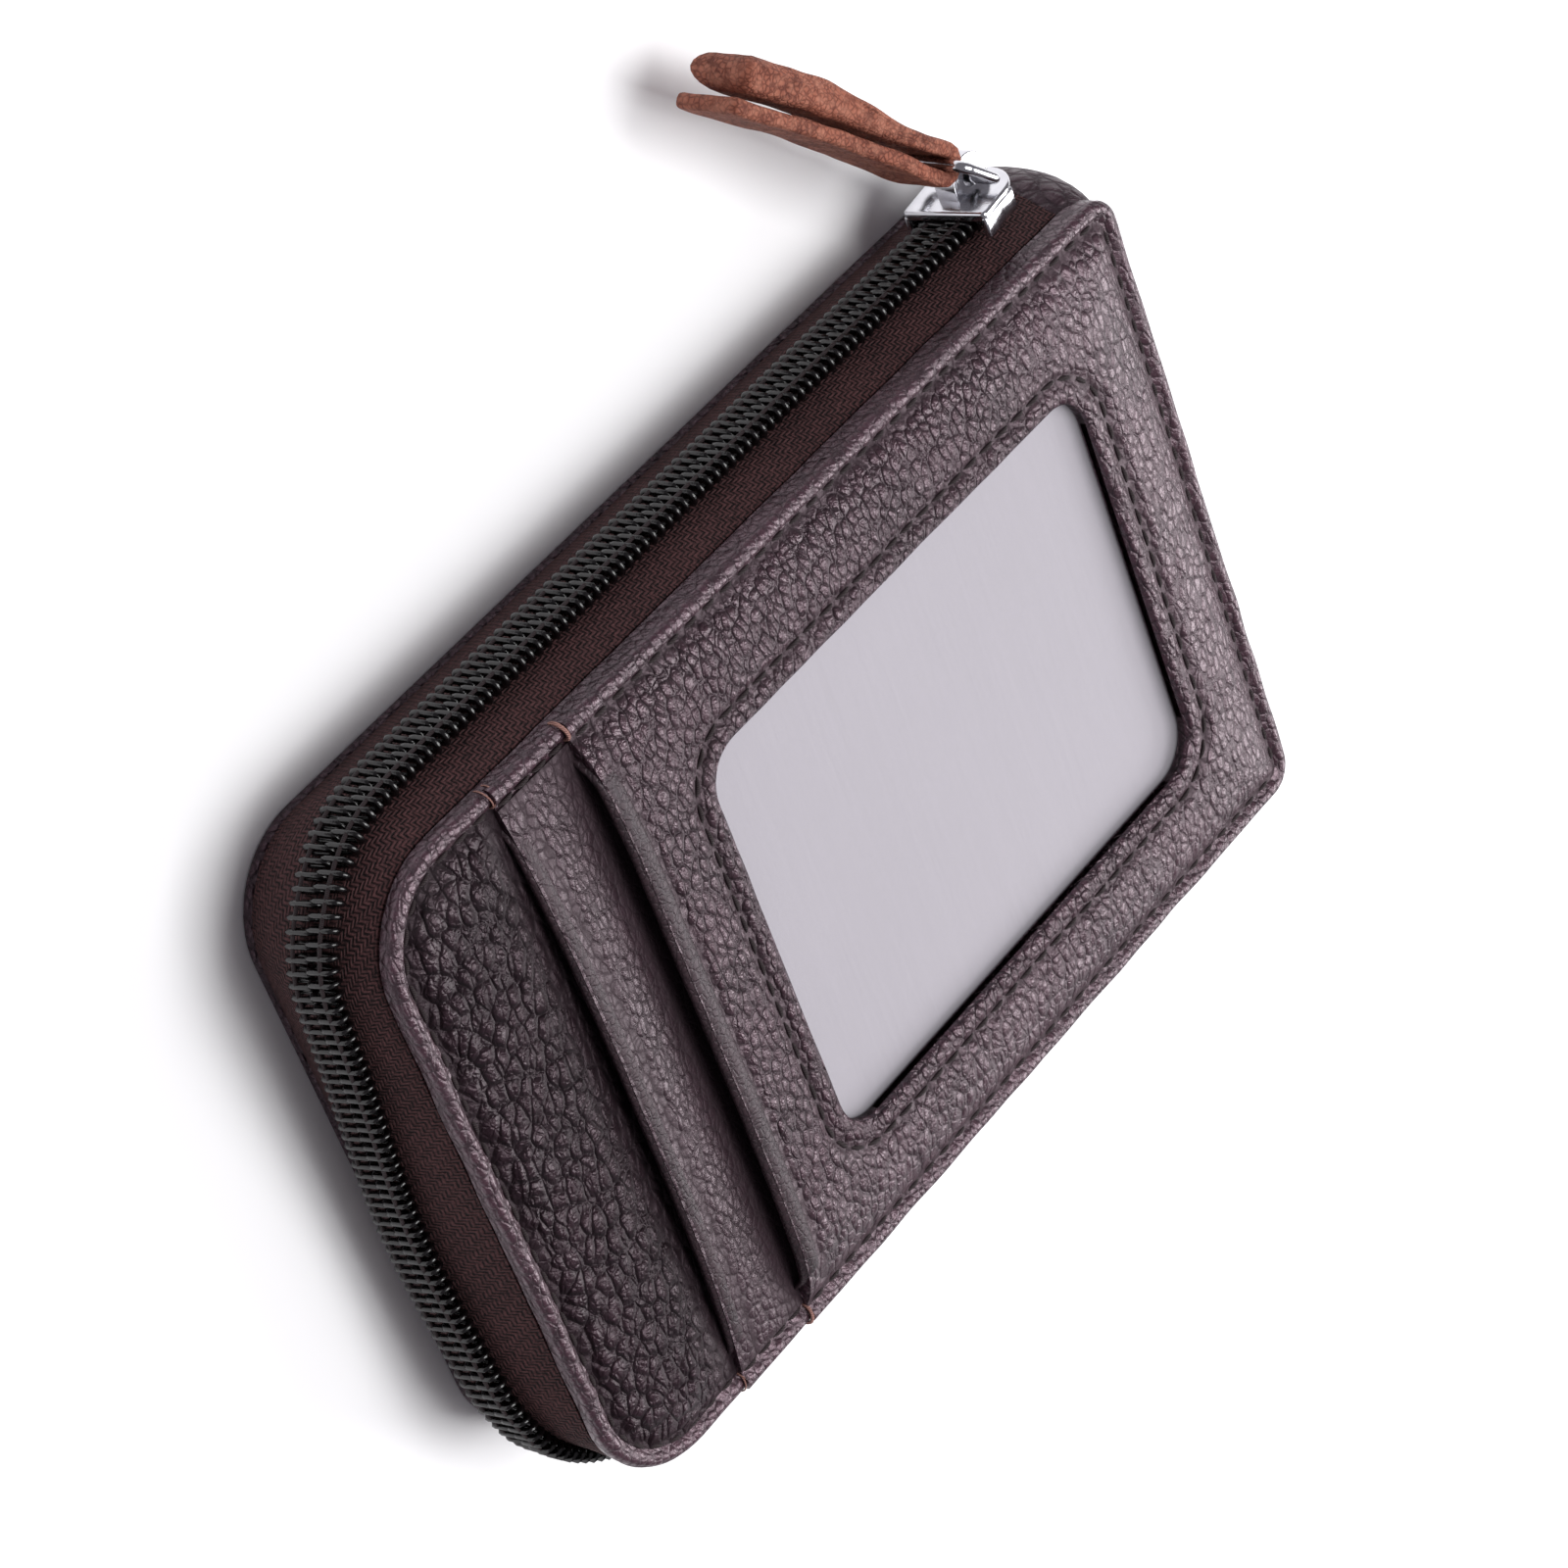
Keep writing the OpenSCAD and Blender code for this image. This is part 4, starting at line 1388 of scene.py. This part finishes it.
# ---------------------------------------------------------------- back, spine and inside
def back_panel():
    """Back panel with softly rolled edges, and a pressed line for its seam."""
    panel = rounded_block("back_panel", PANEL_LOW, PANEL_HIGH, FAR_R, NEAR_R, 16)
    apply_modifier(panel, "BEVEL", width=0.55, segments=4, limit_method="ANGLE", angle_limit=0.9)
    bpy.ops.object.mode_set(mode="EDIT")
    select_parts(panel, "FACE", lambda p, n: n.z < -0.99)
    bpy.ops.mesh.inset(thickness=SEAM_IN - 0.55 - 0.5)
    bpy.ops.mesh.inset(thickness=0.4, depth=-0.3)
    bpy.ops.mesh.inset(thickness=0.2)
    bpy.ops.mesh.inset(thickness=0.4, depth=0.3)
    bpy.ops.object.mode_set(mode="OBJECT")
    finish_piece(panel, MID_GRAIN, "back_cover", ["back_panel_leather"], 40)


def spine_wrap():
    """Leather of the spine, which goes round both spine corners and tucks in beside the zip."""
    low = 0.5
    high = BASE_LOW.z + 0.9
    spine_out = box_mm("spine_leather")[1].x - HALF_L

    def out_at(height):
        return spine_out * (1 - abs((height - MID_Z) / (MID_Z - low)) ** 2.4)
    heights = spread(low, high, 12)
    section = [(out_at(h), h) for h in heights] + [(out_at(h) - 1.1, h) for h in reversed(heights)]
    wrap = sweep_spine_side("spine_wrap", section, HALF_L - 6.5, NEAR_R, 1.5)

    def tuck(p):
        beside = smooth(HALF_L - 3.5, HALF_L - 6.5, p.x)
        if abs(p.y) < HALF_W - NEAR_R:
            return p
        return Vector((p.x, p.y - math.copysign(1.5 * beside, p.y), p.z))
    move_points(wrap, tuck)
    finish_piece(wrap, SPINE_GRAIN, None, ["spine_leather"], 60)
    blend_by_height(wrap)


def spine_inside():
    """Cloth over the inside of the spine, with shallow folds along it."""
    low, high = box_mm("spine_lining")
    cloth = block("spine_cloth", (low + high) / 2, high - low)
    divided(cloth, 14)
    move_points(cloth, lambda p: p + Vector((0.5 * math.sin((p.z - low.z) * 1.7), 0, 0)))
    finish_piece(cloth, LINING, None, ["spine_lining"], 60)
    blend_by_height(cloth)


def side_gusset(name, node, side):
    """Pleated cloth beside the leaves, one fold for each."""
    low, high = box_mm(node)
    folds = 14
    depth = high.y - low.y - 0.35
    inner_y = low.y if side > 0 else -high.y
    heights = spread(low.z, high.z, folds)
    outs = [depth * (i % 2) for i in range(folds + 1)]
    section = list(zip(outs, heights)) + [(out + 0.35, h) for out, h in zip(outs[::-1], heights[::-1])]
    gusset = start_sweep(name, section, low.x, inner_y)
    run(((high.x - low.x) / 20, 0, 0), 20)
    on_side(end_sweep(gusset), side)
    finish_piece(gusset, LINING, None, [node], 40)
    blend_by_height(gusset)


def leaf_trim(number):
    """Stitched binding along the mouth of a card leaf."""
    low, high = box_mm(f"pocket_leaf_{number}")
    middle = (low.x, 0, (low.z + high.z) / 2 - 0.42)
    trim = rod(f"leaf_trim_{number}", 12, 0.5, high.y - low.y, middle)
    settle(trim)
    divided(trim, 30, lambda p, d: abs(d.y) > 10)
    move_points(trim, lambda p: Vector((low.x + (p.x - low.x) * 1.6, p.y, p.z)))
    ruffled(trim, 0.05, 3, number)
    finish_piece(trim, RIM_GRAIN, f"leaf_{number}", angle=80)


def carried_nodes():
    """CAD nodes whose own shape is right."""
    film = clear_film("clear_film")
    sheet = blank_sheet("blank_sheet")
    board = grey_board("grey_board")
    finish_node("window_film", film)
    finish_node("window_insert", sheet)
    for node in ("back_board", "front_board"):
        finish_node(node, board)
    for node in ("back_lining", "front_lining"):
        finish_node(node, LINING)
    for number in range(1, 7):
        finish_node(f"pocket_leaf_{number}", LEAF_CLOTH)


# ---------------------------------------------------------------- camera, light and table
CAMERA_PLACE = (-0.2344, 0.2503, 0.2924)
CAMERA_TURN = (-14.57, -48.59, -27.27)
CAMERA_LENS = 110.9
ROOM_LIGHT = (0.97, 0.92, 1.0, 1)


def camera():
    data = bpy.data.cameras.new("camera")
    data.lens = CAMERA_LENS
    data.sensor_width = 36
    data.clip_start = 0.01
    obj = bpy.data.objects.new("camera", data)
    bpy.context.collection.objects.link(obj)
    obj.location = CAMERA_PLACE
    obj.rotation_euler = [math.radians(a) for a in CAMERA_TURN]
    bpy.context.scene.camera = obj


def soft_light(name, place, size, power, aim=(0, 0, 0.01)):
    data = bpy.data.lights.new(name, "AREA")
    data.shape = "SQUARE"
    data.size = size
    data.energy = power
    obj = bpy.data.objects.new(name, data)
    bpy.context.collection.objects.link(obj)
    obj.location = place
    obj.rotation_euler = (Vector(aim) - Vector(place)).to_track_quat("-Z", "Y").to_euler()


def studio():
    bpy.ops.mesh.primitive_plane_add(size=6, location=(0, 0, 0))
    floor = added("table_top")
    floor.data.materials.append(table_top("table_finish"))
    world = bpy.data.worlds.new("room")
    world.use_nodes = True
    room = world.node_tree.nodes["Background"].inputs
    room["Color"].default_value = ROOM_LIGHT
    room["Strength"].default_value = 0.22
    bpy.context.scene.world = world
    soft_light("window_light", (0.72, -0.5, 0.55), 0.55, 6.5)
    soft_light("overhead_light", (0.1, 0.1, 1.1), 0.8, 13.0)
    scene = bpy.context.scene
    scene.view_settings.view_transform = "Standard"
    scene.view_settings.look = "None"


camera()
studio()
carried_nodes()
front_base()
slot_strip()
window_panel()
front_seams()
slot_tacks()
zip_tapes()
zip_chain()
zip_stop()
slider()
wire_loop()
leather_strap()
back_panel()
spine_wrap()
spine_inside()
side_gusset("gusset_cloth_top", "gusset_fold_top", 1)
side_gusset("gusset_cloth_bottom", "gusset_fold_bottom", -1)
for leaf_number in range(1, 7):
    leaf_trim(leaf_number)
